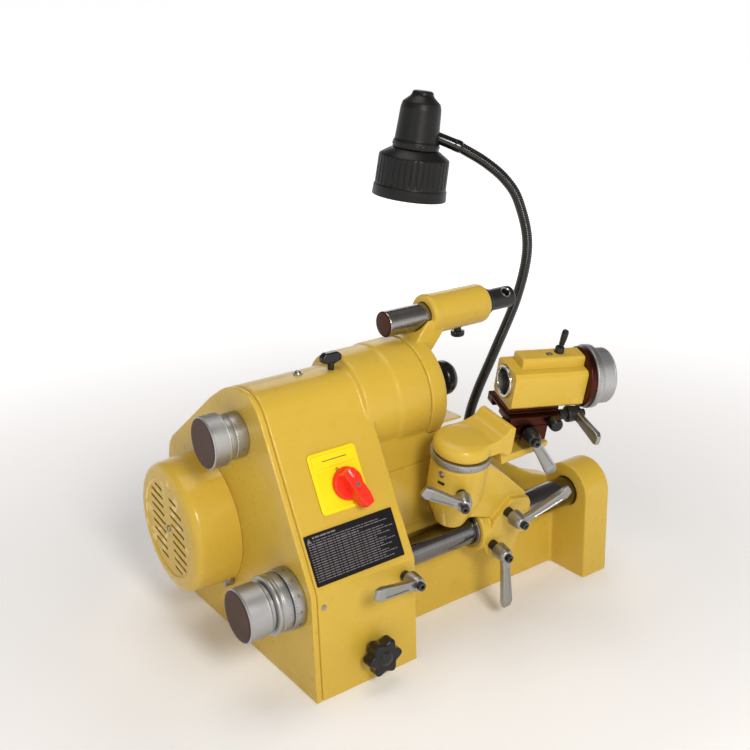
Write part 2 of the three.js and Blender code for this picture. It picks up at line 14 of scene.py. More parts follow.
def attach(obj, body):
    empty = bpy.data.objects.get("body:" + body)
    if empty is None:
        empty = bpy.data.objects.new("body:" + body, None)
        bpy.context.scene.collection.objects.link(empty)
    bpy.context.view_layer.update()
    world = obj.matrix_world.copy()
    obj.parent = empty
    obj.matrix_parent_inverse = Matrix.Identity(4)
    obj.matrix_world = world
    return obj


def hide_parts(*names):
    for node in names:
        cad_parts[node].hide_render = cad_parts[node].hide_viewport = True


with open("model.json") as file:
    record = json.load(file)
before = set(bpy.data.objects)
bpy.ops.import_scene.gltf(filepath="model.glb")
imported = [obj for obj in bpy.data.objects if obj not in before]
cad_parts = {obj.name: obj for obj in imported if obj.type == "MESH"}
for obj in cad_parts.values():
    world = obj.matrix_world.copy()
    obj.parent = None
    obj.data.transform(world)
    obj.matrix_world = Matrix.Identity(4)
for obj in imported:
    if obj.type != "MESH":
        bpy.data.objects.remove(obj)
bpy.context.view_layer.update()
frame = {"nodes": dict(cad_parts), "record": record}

RECORD = frame["record"]
BODY_OF = {n: b for b, nodes in RECORD["behaviour"]["bodies"].items() for n in nodes}

# ------------------------------------------------------------------ local frames, millimetres


def shift(x, y, z):
    return Matrix.Translation((x, y, z))


def turn(angle, axis):
    return Matrix.Rotation(angle, 4, axis)


# Y and Z of the axes that run along the machine: spindle, slide bar, motor, dresser bar.
SY, SZ = 116.4, 234.5
BY, BZ = 37, 97
MY, MZ = 195.2, 119
DY, DZ = 112, 310

ALONG_X = turn(math.pi / 2, "Y")
OUT_FRONT = turn(math.pi / 2, "X")
MACHINE = shift(-200, -130, 0)
SPINDLE = MACHINE @ shift(0, SY, SZ)
BAR = MACHINE @ shift(0, BY, BZ)
MOTOR = MACHINE @ shift(0, MY, MZ)
DRESSER = MACHINE @ shift(0, DY, DZ)
PANEL = MACHINE @ shift(0, 0, 112.8) @ turn(1.1154, "X")
CARRIAGE = MACHINE @ shift(187, BY, BZ) @ turn(0.2269, "X")
HEAD = CARRIAGE @ shift(60.7, 16.5, 160) @ turn(-0.3229, "Z")
LAMP = MACHINE @ shift(331.2, 196.1, 472.4) @ turn(-0.623, "Z")
SHADE = LAMP @ turn(0.16, "Y") @ shift(-39.5, 0, -8)
LAMP_FOOT = MACHINE @ shift(339, 191, 0)
SPINDLE_X, BAR_X, DRESSER_X, HEAD_X = (f @ ALONG_X for f in (SPINDLE, BAR, DRESSER, HEAD))

# ------------------------------------------------------------------ materials


def feed(tree, n, values):
    """Links or sets the inputs of a node. A triple is a colour."""
    for key, value in values.items():
        if isinstance(value, bpy.types.NodeSocket):
            tree.links.new(value, n.inputs[key])
        else:
            n.inputs[key].default_value = (*value, 1) if isinstance(value, tuple) else value
    return n


def add(tree, kind, values=(), **settings):
    n = tree.nodes.new(kind)
    for key, value in settings.items():
        setattr(n, key, value)
    return feed(tree, n, dict(values))


def make_look(name, draw):
    """A material. draw(tree, where) says what each input of its shader gets."""
    look = bpy.data.materials.new(name)
    look.use_nodes = True
    tree = look.node_tree
    where = add(tree, "ShaderNodeTexCoord").outputs["Object"]
    feed(tree, tree.nodes["Principled BSDF"], draw(tree, where))
    return look


def noise(tree, where, scale, detail=4.0, rough=0.55):
    return add(tree, "ShaderNodeTexNoise", {"Scale": scale, "Detail": detail, "Roughness": rough,
                                            "Vector": where}).outputs["Fac"]


def spread(tree, value, low, high, to_low, to_high):
    return add(tree, "ShaderNodeMapRange", {"From Min": low, "From Max": high, "To Min": to_low,
                                            "To Max": to_high, "Value": value}).outputs["Result"]


def mix(tree, factor, first, second):
    # A mix node has inputs and outputs of one name for each kind of data: these are colour's.
    return add(tree, "ShaderNodeMix", {0: factor, 6: first, 7: second},
               data_type="RGBA").outputs[2]


def bump(tree, height, distance, strength=1.0, under=None):
    below = {"Normal": under} if under else {}
    return add(tree, "ShaderNodeBump", {"Strength": strength, "Distance": distance,
                                        "Height": height, **below}).outputs["Normal"]


def edges(tree, low, high):
    """1 on convex edges, 0 elsewhere; it masks the painted edge highlights."""
    geo = add(tree, "ShaderNodeNewGeometry")
    return spread(tree, geo.outputs["Pointiness"], low, high, 0.0, 1.0)


def paint(tree, where):
    cloudy = noise(tree, where, 7.0, 3.0)
    speck = noise(tree, where, 260.0, 2.0)
    grime = noise(tree, where, 38.0, 6.0, 0.7)
    base = mix(tree, cloudy, (0.565, 0.372, 0.042), (0.635, 0.425, 0.056))
    base = mix(tree, spread(tree, speck, 0.35, 0.75, 0.0, 0.16), base, (0.67, 0.46, 0.07))
    base = mix(tree, spread(tree, grime, 0.58, 0.8, 0.0, 0.3), base, (0.42, 0.25, 0.03))
    # Convex edges turn a lighter ochre: a painted highlight.
    base = mix(tree, edges(tree, 0.535, 0.62), base, (0.78, 0.58, 0.2))
    rough = spread(tree, grime, 0.3, 0.8, 0.24, 0.4)
    waves = bump(tree, noise(tree, where, 21.0, 2.0), 0.0011, 0.5)
    peel = bump(tree, noise(tree, where, 340.0, 2.0), 0.00006, 0.6, waves)
    return {"Base Color": base, "Roughness": rough, "Normal": peel, "Coat Weight": 0.14,
            "Coat Roughness": 0.05, "Specular IOR Level": 0.24, "IOR": 1.5}


def metal(name, dark, light, low, high, lines=0.000012, line_scale=2.2, grain=0.000004):
    """Turned or brushed metal: fine rings along the attribute 'along', stains and a grain."""
    def draw(tree, where):
        along = add(tree, "ShaderNodeAttribute", attribute_name="along").outputs["Fac"]
        ring = add(tree, "ShaderNodeTexNoise", {"Scale": line_scale, "Detail": 5.0, "W": along},
                   noise_dimensions="1D").outputs["Fac"]
        stain = noise(tree, where, 55.0, 5.0, 0.62)
        fine = noise(tree, where, 900.0, 2.0)
        both = mix(tree, 0.5, stain, ring)
        return {"Base Color": mix(tree, both, dark, light), "Metallic": 1.0,
                "Roughness": spread(tree, both, 0.3, 0.7, low, high),
                "Normal": bump(tree, fine, grain, 1.0, bump(tree, ring, lines))}
    return make_look(name, draw)


def moulded(name, dark, light, low, high, grain, depth, coat=0.0, shine=0.25):
    """Plastic, rubber or lacquer: grain, slight mottling and paler edges as a painted highlight."""
    def draw(tree, where):
        mottle = noise(tree, where, 60.0, 4.0)
        base = mix(tree, mottle, dark, light)
        # Convex edges take a paler copy of the colour: a painted highlight.
        edge_highlight = tuple(min(1.0, c * 1.8 + 0.01) for c in light)
        base = mix(tree, edges(tree, 0.54, 0.66), base, edge_highlight)
        return {"Base Color": base, "Roughness": spread(tree, mottle, 0.3, 0.7, low, high),
                "Normal": bump(tree, noise(tree, where, grain, 2.0), depth, 0.8),
                "Specular IOR Level": shine, "Coat Weight": coat, "Coat Roughness": 0.12}
    return make_look(name, draw)


def grit(tree, where):
    cells = add(tree, "ShaderNodeTexVoronoi", {"Scale": 1300.0, "Vector": where})
    base = mix(tree, cells.outputs["Color"], (0.5, 0.46, 0.41), (0.82, 0.78, 0.72))
    return {"Base Color": base, "Roughness": 0.95,
            "Normal": bump(tree, cells.outputs["Distance"], 0.0005, 0.8)}


def frosted(tree, where):
    base = mix(tree, noise(tree, where, 90.0), (0.86, 0.84, 0.78), (0.95, 0.94, 0.9))
    return {"Base Color": base, "Roughness": 0.25, "Coat Weight": 0.6}


def cast_iron(tree, where):
    base = mix(tree, noise(tree, where, 120.0), (0.07, 0.075, 0.08), (0.13, 0.135, 0.14))
    return {"Base Color": base, "Roughness": 0.6,
            "Normal": bump(tree, noise(tree, where, 500.0), 0.0002)}


PAINT = make_look("ochre_enamel", paint)
ALU = metal("satin_aluminium", (0.3, 0.3, 0.3), (0.52, 0.52, 0.52), 0.34, 0.48)
GRIP = metal("knurled_aluminium", (0.34, 0.34, 0.34), (0.56, 0.56, 0.56), 0.38, 0.52, 0.000004)
CAST_ALU = metal("cast_lever_metal", (0.3, 0.3, 0.295), (0.47, 0.47, 0.46), 0.32, 0.46,
                 0.000002, 1.0, 0.00002)
BORE = metal("polished_bore", (0.62, 0.62, 0.61), (0.85, 0.85, 0.84), 0.12, 0.22, 0.000004)
STEEL = metal("ground_steel", (0.24, 0.235, 0.23), (0.44, 0.43, 0.42), 0.2, 0.34)
CHROME = metal("hard_chrome", (0.12, 0.115, 0.11), (0.26, 0.255, 0.25), 0.04, 0.12, 0.000002, 0.5,
               0.000001)
FACED = metal("faced_end", (0.045, 0.019, 0.011), (0.085, 0.038, 0.024), 0.36, 0.5, 0.00001, 3.0)
BROWNED = metal("browned_steel", (0.05, 0.013, 0.009), (0.1, 0.03, 0.02), 0.26, 0.4,
                0.000004, 1.0, 0.00001)
BLACKED = moulded("blacked_screw", (0.008, 0.008, 0.009), (0.02, 0.019, 0.02), 0.25, 0.4,
                  900.0, 0.00002, 0.2)
BLACK = moulded("black_plastic", (0.004, 0.004, 0.0045), (0.009, 0.009, 0.0095), 0.18, 0.3,
                1100.0, 0.00003, 0.25)
LAMP_SKIN = moulded("lamp_plastic", (0.005, 0.005, 0.005), (0.01, 0.0095, 0.0095), 0.32, 0.46,
                    1500.0, 0.00005)
HOSE = moulded("gooseneck_black", (0.003, 0.003, 0.003), (0.007, 0.0065, 0.0065), 0.12, 0.22,
               700.0, 0.00002, 0.3, 0.4)
RUBBER = moulded("belt_rubber", (0.01, 0.01, 0.01), (0.02, 0.02, 0.02), 0.6, 0.8, 800.0, 0.0001)
RED = moulded("red_plastic", (0.8, 0.02, 0.006), (0.92, 0.035, 0.012), 0.22, 0.34,
              900.0, 0.00002, 0.3)
YELLOW = moulded("yellow_plate", (0.86, 0.66, 0.004), (0.93, 0.73, 0.008), 0.3, 0.42,
                 700.0, 0.00002, 0.2)
LABEL = moulded("label_foil", (0.005, 0.004, 0.006), (0.011, 0.009, 0.011), 0.3, 0.45,
                500.0, 0.00003, 0.0, 0.15)
INK = moulded("black_ink", (0.01, 0.01, 0.01), (0.03, 0.03, 0.03), 0.5, 0.6, 600.0, 0.00001)
PALE_INK = moulded("pale_ink", (0.045, 0.042, 0.045), (0.1, 0.095, 0.1), 0.5, 0.6, 600.0, 0.00001)
WHITE_INK = moulded("white_ink", (0.75, 0.75, 0.75), (0.85, 0.85, 0.85), 0.5, 0.6, 600.0, 0.00001)
ABRASIVE = make_look("abrasive", grit)
GLASS = make_look("bulb_glass", frosted)
IRON = make_look("motor_iron", cast_iron)

# ------------------------------------------------------------------ mesh helpers

FACE_LINES = 1.3    # how close turning marks stand on an end face, against those on a side
WELD = 1e-4


def soften(profile, radius, steps=4, closed=False):
    """Rounds the corners of a profile."""
    pts = [Vector(p) for p in profile]
    out = []
    last = len(pts) - 1
    for i, p in enumerate(pts):
        if not closed and i in (0, last):
            out.append(tuple(p))
            continue
        before = pts[i - 1] - p
        after = pts[(i + 1) % len(pts)] - p
        if before.length < 1e-6 or after.length < 1e-6:
            continue
        bend = before.normalized().dot(after.normalized())
        if bend < -0.995:
            out.append(tuple(p))
            continue
        r = min(radius, before.length / 2.1, after.length / 2.1)
        a = p + before.normalized() * r
        b = p + after.normalized() * r
        for k in range(steps + 1):
            t = k / steps
            out.append(tuple(a * (1 - t) ** 2 + p * 2 * t * (1 - t) + b * t * t))
    return out


def dense(profile, step):
    out = [profile[0]]
    for a, b in zip(profile, profile[1:]):
        n = max(1, int(math.dist(a, b) / step))
        out += [(a[0] + (b[0] - a[0]) * k / n, a[1] + (b[1] - a[1]) * k / n)
                for k in range(1, n + 1)]
    return out


def lathe(profile, segs=96, closed=False, shape=None):
    """Turns (place on the axis, radius) pairs round Z. shape(angle, place, radius) may
    change the radius, as for knurling."""
    bm = bmesh.new()
    mark = bm.verts.layers.float.new("along")
    rings = []
    for place, radius in profile:
        if radius < 1e-6:
            v = bm.verts.new((0, 0, place))
            v[mark] = radius
            rings.append([v])
            continue
        ring = []
        for k in range(segs):
            angle = 2 * math.pi * k / segs
            r = shape(angle, place, radius) if shape else radius
            v = bm.verts.new((r * math.cos(angle), r * math.sin(angle), place))
            v[mark] = place + radius * FACE_LINES
            ring.append(v)
        rings.append(ring)
    pairs = list(zip(rings, rings[1:]))
    if closed:
        pairs.append((rings[-1], rings[0]))
    for lower, upper in pairs:
        for k in range(segs):
            m = (k + 1) % segs
            if len(lower) == 1 and len(upper) == 1:
                break
            if len(lower) == 1:
                bm.faces.new((lower[0], upper[m], upper[k]))
            elif len(upper) == 1:
                bm.faces.new((lower[k], lower[m], upper[0]))
            else:
                bm.faces.new((lower[k], lower[m], upper[m], upper[k]))
    bmesh.ops.recalc_face_normals(bm, faces=bm.faces)
    return bm


def tube(low, high, outer, inner, segs=96, edge=0.4):
    ring = [(low, inner), (low, outer), (high, outer), (high, inner)]
    return lathe(soften(ring, edge, 3, True), segs, True)


def prism(outline, low, high):
    """A flat outline in X and Y, carried from low to high along Z."""
    bm = bmesh.new()
    bottom = [bm.verts.new((x, y, low)) for x, y in outline]
    top = [bm.verts.new((x, y, high)) for x, y in outline]
    bm.faces.new(bottom)
    bm.faces.new(top)
    for k in range(len(outline)):
        m = (k + 1) % len(outline)
        bm.faces.new((bottom[k], bottom[m], top[m], top[k]))
    bmesh.ops.recalc_face_normals(bm, faces=bm.faces)
    return bm


def prism_x(outline, low, high):
    """An outline in Y and Z, carried along X."""
    bm = prism(outline, low, high)
    bm.transform(Matrix(((0, 0, 1, 0), (1, 0, 0, 0), (0, 1, 0, 0), (0, 0, 0, 1))))
    return bm


def prism_y(outline, low, high):
    """An outline in X and Z, carried along Y."""
    bm = prism(outline, low, high)
    bm.transform(Matrix(((1, 0, 0, 0), (0, 0, 1, 0), (0, 1, 0, 0), (0, 0, 0, 1))))
    bmesh.ops.recalc_face_normals(bm, faces=bm.faces)
    return bm


def block(x0, x1, y0, y1, z0, z1):
    return prism([(x0, y0), (x1, y0), (x1, y1), (x0, y1)], z0, z1)


def rod(low, high, r, segs=96):
    return lathe([(low, 0), (low, r), (high, r), (high, 0)], segs)


def rod_x(low, high, r, y=0, z=0, segs=96):
    bm = rod(low, high, r, segs)
    bm.transform(shift(0, y, z) @ ALONG_X)
    return bm


def arc(cx, cy, r, start, end, steps):
    out = []
    for k in range(steps + 1):
        a = math.radians(start + (end - start) * k / steps)
        out.append((cx + r * math.cos(a), cy + r * math.sin(a)))
    return out


def loft(rings):
    """Joins rings of equal length and closes both ends."""
    bm = bmesh.new()
    made = [[bm.verts.new(p) for p in ring] for ring in rings]
    for lower, upper in zip(made, made[1:]):
        for k in range(len(lower)):
            m = (k + 1) % len(lower)
            bm.faces.new((lower[k], lower[m], upper[m], upper[k]))
    bm.faces.new(made[0])
    bm.faces.new(made[-1])
    bmesh.ops.recalc_face_normals(bm, faces=bm.faces)
    return bm


def joined(*parts):
    """One bmesh of several, each freed."""
    out = bmesh.new()
    for bm in parts:
        mesh = bpy.data.meshes.new("part")
        bm.to_mesh(mesh)
        bm.free()
        out.from_mesh(mesh)
        bpy.data.meshes.remove(mesh)
    return out


def moved(bm, matrix):
    bm.transform(matrix)
    return bm


def new_object(name, data):
    ob = bpy.data.objects.new(name, data)
    bpy.context.scene.collection.objects.link(ob)
    return ob


def to_object(bm, name="tool"):
    mesh = bpy.data.meshes.new(name)
    bm.to_mesh(mesh)
    bm.free()
    return new_object(name, mesh)


def baked(ob):
    """The object's mesh with its modifiers applied, as a bmesh; the object is removed."""
    graph = bpy.context.evaluated_depsgraph_get()
    mesh = bpy.data.meshes.new_from_object(ob.evaluated_get(graph))
    out = bmesh.new()
    out.from_mesh(mesh)
    bpy.data.objects.remove(ob)
    bpy.data.meshes.remove(mesh)
    return out


def combine(base, tools, kind):
    for tool in tools:
        first, second = to_object(base), to_object(tool)
        mod = first.modifiers.new("join", "BOOLEAN")
        mod.object = second
        mod.operation = kind
        mod.solver = "EXACT"
        base = baked(first)
        bpy.data.objects.remove(second)
    return base


def union(base, *tools):
    return combine(base, tools, "UNION")


def cut(base, *tools):
    return combine(base, tools, "DIFFERENCE")


def cast(bm, voxel, rounds):
    """Rounds every edge and inner corner, as on a sand casting. Sizes in millimetres."""
    ob = to_object(bm)
    mod = ob.modifiers.new("remesh", "REMESH")
    mod.mode = "VOXEL"
    mod.voxel_size = voxel
    mod.use_smooth_shade = True
    smooth = ob.modifiers.new("smooth", "SMOOTH")
    smooth.factor = 0.5
    smooth.iterations = rounds
    return baked(ob)


def put(name, bm, at, node, looks, hides=(), sharp=40, bevel=0.0, steps=3, limit=32):
    """Makes the piece. bm is in millimetres in the frame at, and node says which body it
    rides on. bevel is in millimetres, sharp and limit in degrees."""
    bm.transform(Matrix.Scale(0.001, 4) @ at)
    if at.determinant() < 0:
        bmesh.ops.reverse_faces(bm, faces=bm.faces)
    ob = to_object(bm, name)
    mesh = ob.data
    for look in looks if isinstance(looks, list) else [looks]:
        mesh.materials.append(look)
    mesh.polygons.foreach_set("use_smooth", [True] * len(mesh.polygons))
    if bevel:
        mod = ob.modifiers.new("bevel", "BEVEL")
        mod.width = bevel * 0.001
        mod.segments = steps
        mod.limit_method = "ANGLE"
        mod.angle_limit = math.radians(limit)
        mod.use_clamp_overlap = True
        weighted = ob.modifiers.new("normals", "WEIGHTED_NORMAL")
        weighted.keep_sharp = False
    else:
        mesh.set_sharp_from_angle(angle=math.radians(sharp))
    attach(ob, BODY_OF[node])
    if hides:
        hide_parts(*hides)
    return ob


def skin(name, bm, at, node, looks, **how):
    """A piece that stands in for its whole CAD node."""
    return put(name, bm, at, node, looks, [node], **how)


def in_place(node, look):
    """A CAD node that stays, with a better material."""
    materials = frame["nodes"][node].data.materials
    materials.clear()
    materials.append(look)


def knurl(count, depth):
    """A shape for lathe(): crossed grooves, count round the grip."""
    def shape(angle, place, radius):
        pitch = 2 * math.pi * radius / count
        u = count * angle / (2 * math.pi)
        v = place / pitch
        a = abs((u + v) % 1 - 0.5)
        b = abs((u - v) % 1 - 0.5)
        return radius - depth + depth * min(1.0, 2.6 * min(a, b))
    return shape


def grip(low, high, r, count, depth, body, segs):
    """A knurled band between two plain edges, with the turned body it is part of."""
    band = dense([(low, r), (high, r)], 0.42)
    return lathe(body[0] + band + body[1], segs, False, lambda a, p, q:
                 knurl(count, depth)(a, p, q) if low < p < high and q > r - 0.01 else q)


def socket_screw(r, height, hexagon):
    """A cap screw head on Z from 0 to height, with its hexagon socket."""
    head = lathe(soften([(0, 0), (0, r), (height, r), (height, hexagon * 1.15)], r * 0.14, 3)
                 + [(height, hexagon * 1.15)], 48)
    rim = [e for e in head.edges if e.is_boundary]
    head.verts.ensure_lookup_table()
    ring = sorted({v for e in rim for v in e.verts}, key=lambda v: math.atan2(v.co.y, v.co.x))
    deep = []
    for v in ring:
        ratio = hex_ratio(v.co)
        deep.append(head.verts.new((v.co.x * ratio, v.co.y * ratio, height - 0.15)))
    floor = [head.verts.new((v.co.x, v.co.y, height * 0.35)) for v in deep]
    for a, b in ((ring, deep), (deep, floor)):
        for k in range(len(a)):
            m = (k + 1) % len(a)
            head.faces.new((a[k], a[m], b[m], b[k]))
    head.faces.new(floor)
    bmesh.ops.recalc_face_normals(head, faces=head.faces)
    return head


def hex_ratio(co):
    """How far in, at this angle, a hexagon lies from the circle just outside it."""
    angle = math.atan2(co.y, co.x) % (math.pi / 3) - math.pi / 6
    return 0.87 * math.cos(math.pi / 6) / math.cos(angle)


def figure(text, size, depth=0.12):
    """Digits as a thin solid centred on the origin, reading along X with Y up."""
    curve = bpy.data.curves.new("figure", "FONT")
    curve.body = text
    curve.size = size
    curve.align_x = "CENTER"
    curve.align_y = "CENTER"
    curve.extrude = depth
    curve.resolution_u = 3
    return baked(new_object("figure", curve))


def wrapped(bm, radius, middle):
    """Bends a flat piece, X round and Y along, onto a cylinder round Z at angle middle."""
    for v in bm.verts:
        angle = middle + v.co.x / radius
        r = radius + v.co.z
        v.co = Vector((r * math.cos(angle), r * math.sin(angle), v.co.y))
    return bm


def graduations(radius, base, count, figures, size, up=1, long=3.2, short=1.8):
    """Engraved lines and figures round a ring, on Z, starting at place base. up says
    which way along the axis the lines point."""
    parts = []
    for k in range(count):
        angle = 2 * math.pi * k / count
        reach = long if k % 5 == 0 else short
        low, high = sorted((base, base + up * reach))
        bar = block(-0.16, 0.16, low, high, -0.3, 0.03)
        parts.append(wrapped(bar, radius, angle))
    for k, text in enumerate(figures):
        angle = 2 * math.pi * k / len(figures)
        digits = moved(figure(text, size), shift(0, base + up * (long + size * 0.6), 0))
        parts.append(wrapped(digits, radius, angle))
    return joined(*parts)


# ------------------------------------------------------------------ castings

HOUSING = [(0, 0), (0, 112.8)] + \
    soften([(70.5, 256.8), (78, 270), (92, 279.5), (116, 281), (140, 275), (172, 256)], 14, 6) + \
    [(220, 222), (275, 183), (284, 172), (289, 156), (289, 0)]
CAVITY = [(8, 10), (8, 111), (77, 252), (85, 261), (97, 268), (108, 271), (118, 271.3),
          (130, 267.8), (168, 248.5), (215, 215.5), (268, 178), (277, 168), (281, 153), (281, 10)]
DRUM_END, COVER_END = 188, 209
CAST_SHARP = 60


def make_bed():
    shell = cut(prism_x(HOUSING, 6.3, 117), prism_x(CAVITY, 0, 109))
    wall = prism_y([(110, 0), (370, 0), (370, 100), (339, 112), (196, 203), (150, 232), (110, 240)],
                   68, 92)
    arch = [(BY - 32, 0), (BY + 32, 0)] + arc(BY, BZ, 32, 0, 180, 40)
    drum = lathe(soften([(111, 0), (111, 56), (150, 56), (152, 57.4), (187, 57.8), (DRUM_END, 57.8),
                         (DRUM_END, 0)], 1.5, 3), 128)
    drum.transform(shift(0, SY, SZ) @ ALONG_X)
    sill = block(110, 370, 57.6, 69, 0, 72)
    foot = block(110, 394, 61.6, 270, 0, 24)
    collar = rod_x(62, 113, 24, BY, BZ)
    body = union(shell, drum, wall, sill, foot, prism_x(arch, 358, 394), collar)
    body = cut(body, rod_x(55, 118, 16.4, BY, BZ), rod_x(357, 389, 16.4, BY, BZ),
               rod_x(107, 182, 24.4, SY, SZ), rod_x(180, 192, 53, SY, SZ),
               rod_x(DRUM_END, COVER_END + 0.6, 58.6, SY, SZ),
               block(COVER_END, 268, 84, 140, 176, 260))
    skin("bed_skin", cast(body, 1.5, 5), MACHINE, "bed_casting", PAINT, sharp=CAST_SHARP)


def make_end_cover():
    plate = cut(prism_x(HOUSING, 0, 6), rod_x(-1, 7, 7, SY, SZ), rod_x(-1, 7, 8, BY, BZ),
                rod_x(-1, 7, 30, MY, MZ))
    skin("end_cover_skin", cast(plate, 1.1, 4), MACHINE, "end_cover", PAINT, sharp=CAST_SHARP)


def make_guard():
    ring = lathe(soften([(DRUM_END + 0.3, 0), (DRUM_END + 0.3, 58), (205.5, 58), (COVER_END, 56.4),
                         (COVER_END, 0)], 2.5, 4), 128)
    ring.transform(shift(0, SY, SZ) @ ALONG_X)
    neck = prism_y([(190, 268), (207, 268), (220, 279), (233, 294), (236, 308), (214, 308),
                    (203, 296), (194, 284)], DY - 17, DY + 17)
    barrel = lathe(soften([(220, 0), (220, 20.6), (223, 21.9), (227, 21.9), (230, 21), (294, 21),
                           (298, 19.4), (298, 0)], 1.6, 3), 128)
    barrel.transform(shift(0, DY, DZ) @ ALONG_X)
    body = cut(union(ring, neck, barrel), rod_x(DRUM_END - 1, COVER_END + 1, 53.2, SY, SZ),
               rod_x(200, 303, 13.8, DY, DZ))
    skin("guard_skin", cast(body, 1.1, 6), MACHINE, "guard_cover", PAINT, sharp=CAST_SHARP)
    tray = union(block(209.3, 250, 88, 134, 196, 198.5), block(209.3, 211.8, 88, 134, 180, 198.5))
    skin("deflector_tray", tray, MACHINE, "spark_deflector", PAINT, bevel=0.7)
    for k, y in enumerate((98, 124)):
        put(f"deflector_screw_{k + 1}", socket_screw(3, 2.4, 1.6),
            MACHINE @ shift(211.9, y, 188) @ ALONG_X, "spark_deflector", BLACKED)


def make_wall_cover():
    pts = arc(188, 116, 8, -90, 0, 8) + [(196, 172), (121, 172), (121, 108)]
    plate = prism_y(pts, 65.7, 67.7)
    skin("wall_cover_plate", plate, MACHINE, "wall_cover", PAINT, bevel=0.6)
    for k, (x, z) in enumerate(((187, 117), (187, 164), (129, 164), (129, 117))):
        put(f"wall_cover_screw_{k + 1}", slotted_screw(3.1, 1.5),
            MACHINE @ shift(x, 65.9, z) @ OUT_FRONT, "wall_cover", PAINT)


def slotted_screw(r, height):
    head = lathe(soften([(0, 0), (0, r), (height * 0.6, r), (height, r * 0.55), (height, 0)],
                        r * 0.2, 3), 40)
    return cut(head, block(-r * 1.1, r * 1.1, -r * 0.16, r * 0.16, height * 0.45, height * 2))


# ------------------------------------------------------------------ motor cowl


def make_cowl():
    profile = [(-0.4, 69.5), (-27, 68.9)] + \
        soften([(-27, 68.9), (-46, 67.5), (-48.9, 52.6)], 17, 12)[1:-1] + \
        [(-48.9, 52.6), (-48.3, 51.3), (-47.2, 50.8), (-47.2, 9), (-46.6, 8), (-46.6, 0)]
    inner = [(-44.4, 0), (-44.4, 50), (-42, 60.5), (-31, 65.2), (-0.4, 66.6)]
    cup = lathe(profile + inner + [(-0.4, 69.5)], 128)
    bmesh.ops.remove_doubles(cup, verts=cup.verts, dist=WELD)
    bmesh.ops.recalc_face_normals(cup, faces=cup.faces)
    cup.transform(ALONG_X)
    slots = []
    lean = 0.2
    for k in range(9):
        h = -38 + k * 9.5
        room = math.sqrt(46 ** 2 - h ** 2)
        for low, high in ((max(-room + 4, -35), -9), (9, min(room - 4, 35))):
            if high - low < 7:
                continue
            line = arc(high, h + lean * high, 1.7, -80, 100, 8) + \
                arc(low, h + lean * low, 1.7, 100, 280, 8)
            slots.append(prism_x(line, -52, -40))
    cup = cut(cup, *slots)
    skin("cowl_shell", cup, MOTOR, "fan_cowl", PAINT, bevel=0.45, steps=2, limit=38)
    put("cowl_screw", slotted_screw(3.4, 1.8), MOTOR @ shift(-46.6, 0, 0) @ turn(-math.pi / 2, "Y"),
        "fan_cowl", STEEL)
    lug = union(block(-5, 5, -6, 6, 0, 5), rod(0, 7, 3.2, 32))
    put("cowl_lug", lug, MACHINE @ shift(-6, 156, 64) @ OUT_FRONT, "fan_cowl", STEEL, bevel=0.5)


# ------------------------------------------------------------------ feed knobs

GRIP_SHARP = 50


def make_knobs():
    sleeve = lathe(soften([(-18.6, 6.2), (-18.6, 22.2), (-13, 22.2), (-12.4, 21.8), (-11.8, 22.5),
                           (-0.3, 22.5), (-0.3, 6.2)], 0.5, 3, True), 144, True)
    skin("upper_sleeve_body", sleeve, SPINDLE_X, "upper_sleeve", ALU)
    put("upper_sleeve_marks", graduations(22.5, -11.6, 50, "01234", 3.2, 1, 3, 1.7),
        SPINDLE_X, "upper_sleeve", INK)
    knob = grip(-36.2, -20.2, 25.5, 104, 0.42,
                ([(-37.3, 0), (-37.3, 20), (-37.4, 22.8), (-37.2, 24.2), (-36.6, 25.1),
                  (-36.3, 25.2)],
                 [(-19.8, 25.2), (-19.2, 24.6), (-18.9, 24), (-18.9, 6)]), 416)
    shaft = rod(-19, 20, 5.5, 48)
    face_look(skin("upper_knob_grip", joined(knob, shaft), SPINDLE_X, "upper_knob",
                   [GRIP, FACED], sharp=GRIP_SHARP), -37.1)
    fixed = tube(-12, -0.3, 29.5, 7.2, 160, 0.5)
    skin("lower_ring_body", fixed, BAR_X, "lower_fixed_ring", ALU)
    put("lower_ring_marks", graduations(29.5, -11.7, 60, [str(n) for n in range(0, 60, 5)], 3.4, 1,
                                        3.4, 2),
        BAR_X, "lower_fixed_ring", INK)
    dial = lathe(soften([(-28, 6.6), (-28, 26.4), (-27, 28.4), (-24.6, 28.6), (-23.6, 27.2),
                         (-21, 27.2), (-20.2, 28.2), (-13.4, 28.2), (-12.4, 27.6), (-12.4, 6.6)],
                        0.5, 3, True), 160, True)
    skin("lower_dial_body", dial, BAR_X, "lower_dial", ALU)
    put("lower_dial_marks", graduations(28.2, -13.6, 100, [], 3, -1, 3.2, 1.9), BAR_X,
        "lower_dial", INK)
    knob = grip(-54.6, -34, 25.7, 106, 0.3,
                ([(-55.9, 0), (-55.9, 20), (-56, 23.2), (-55.7, 24.6), (-55.1, 25.3),
                  (-54.7, 25.5)],
                 [(-33.6, 25.5), (-32.8, 25), (-32.2, 24), (-31.8, 23), (-28.6, 23), (-28.4, 22.6),
                  (-28.4, 6)]), 424)
    face_look(skin("lower_knob_grip", joined(knob, rod(-29, 40, 6.2, 48)), BAR_X,
                   "lower_knob", [GRIP, FACED], sharp=GRIP_SHARP), -55.7)


def face_look(ob, before):
    """Gives the end faces left of this place along the machine the piece's second look."""
    edge = (MACHINE @ Vector((before, 0, 0))).x * 0.001
    for p in ob.data.polygons:
        if p.center.x < edge and abs(p.normal.x) > 0.7:
            p.material_index = 1


# ------------------------------------------------------------------ levers


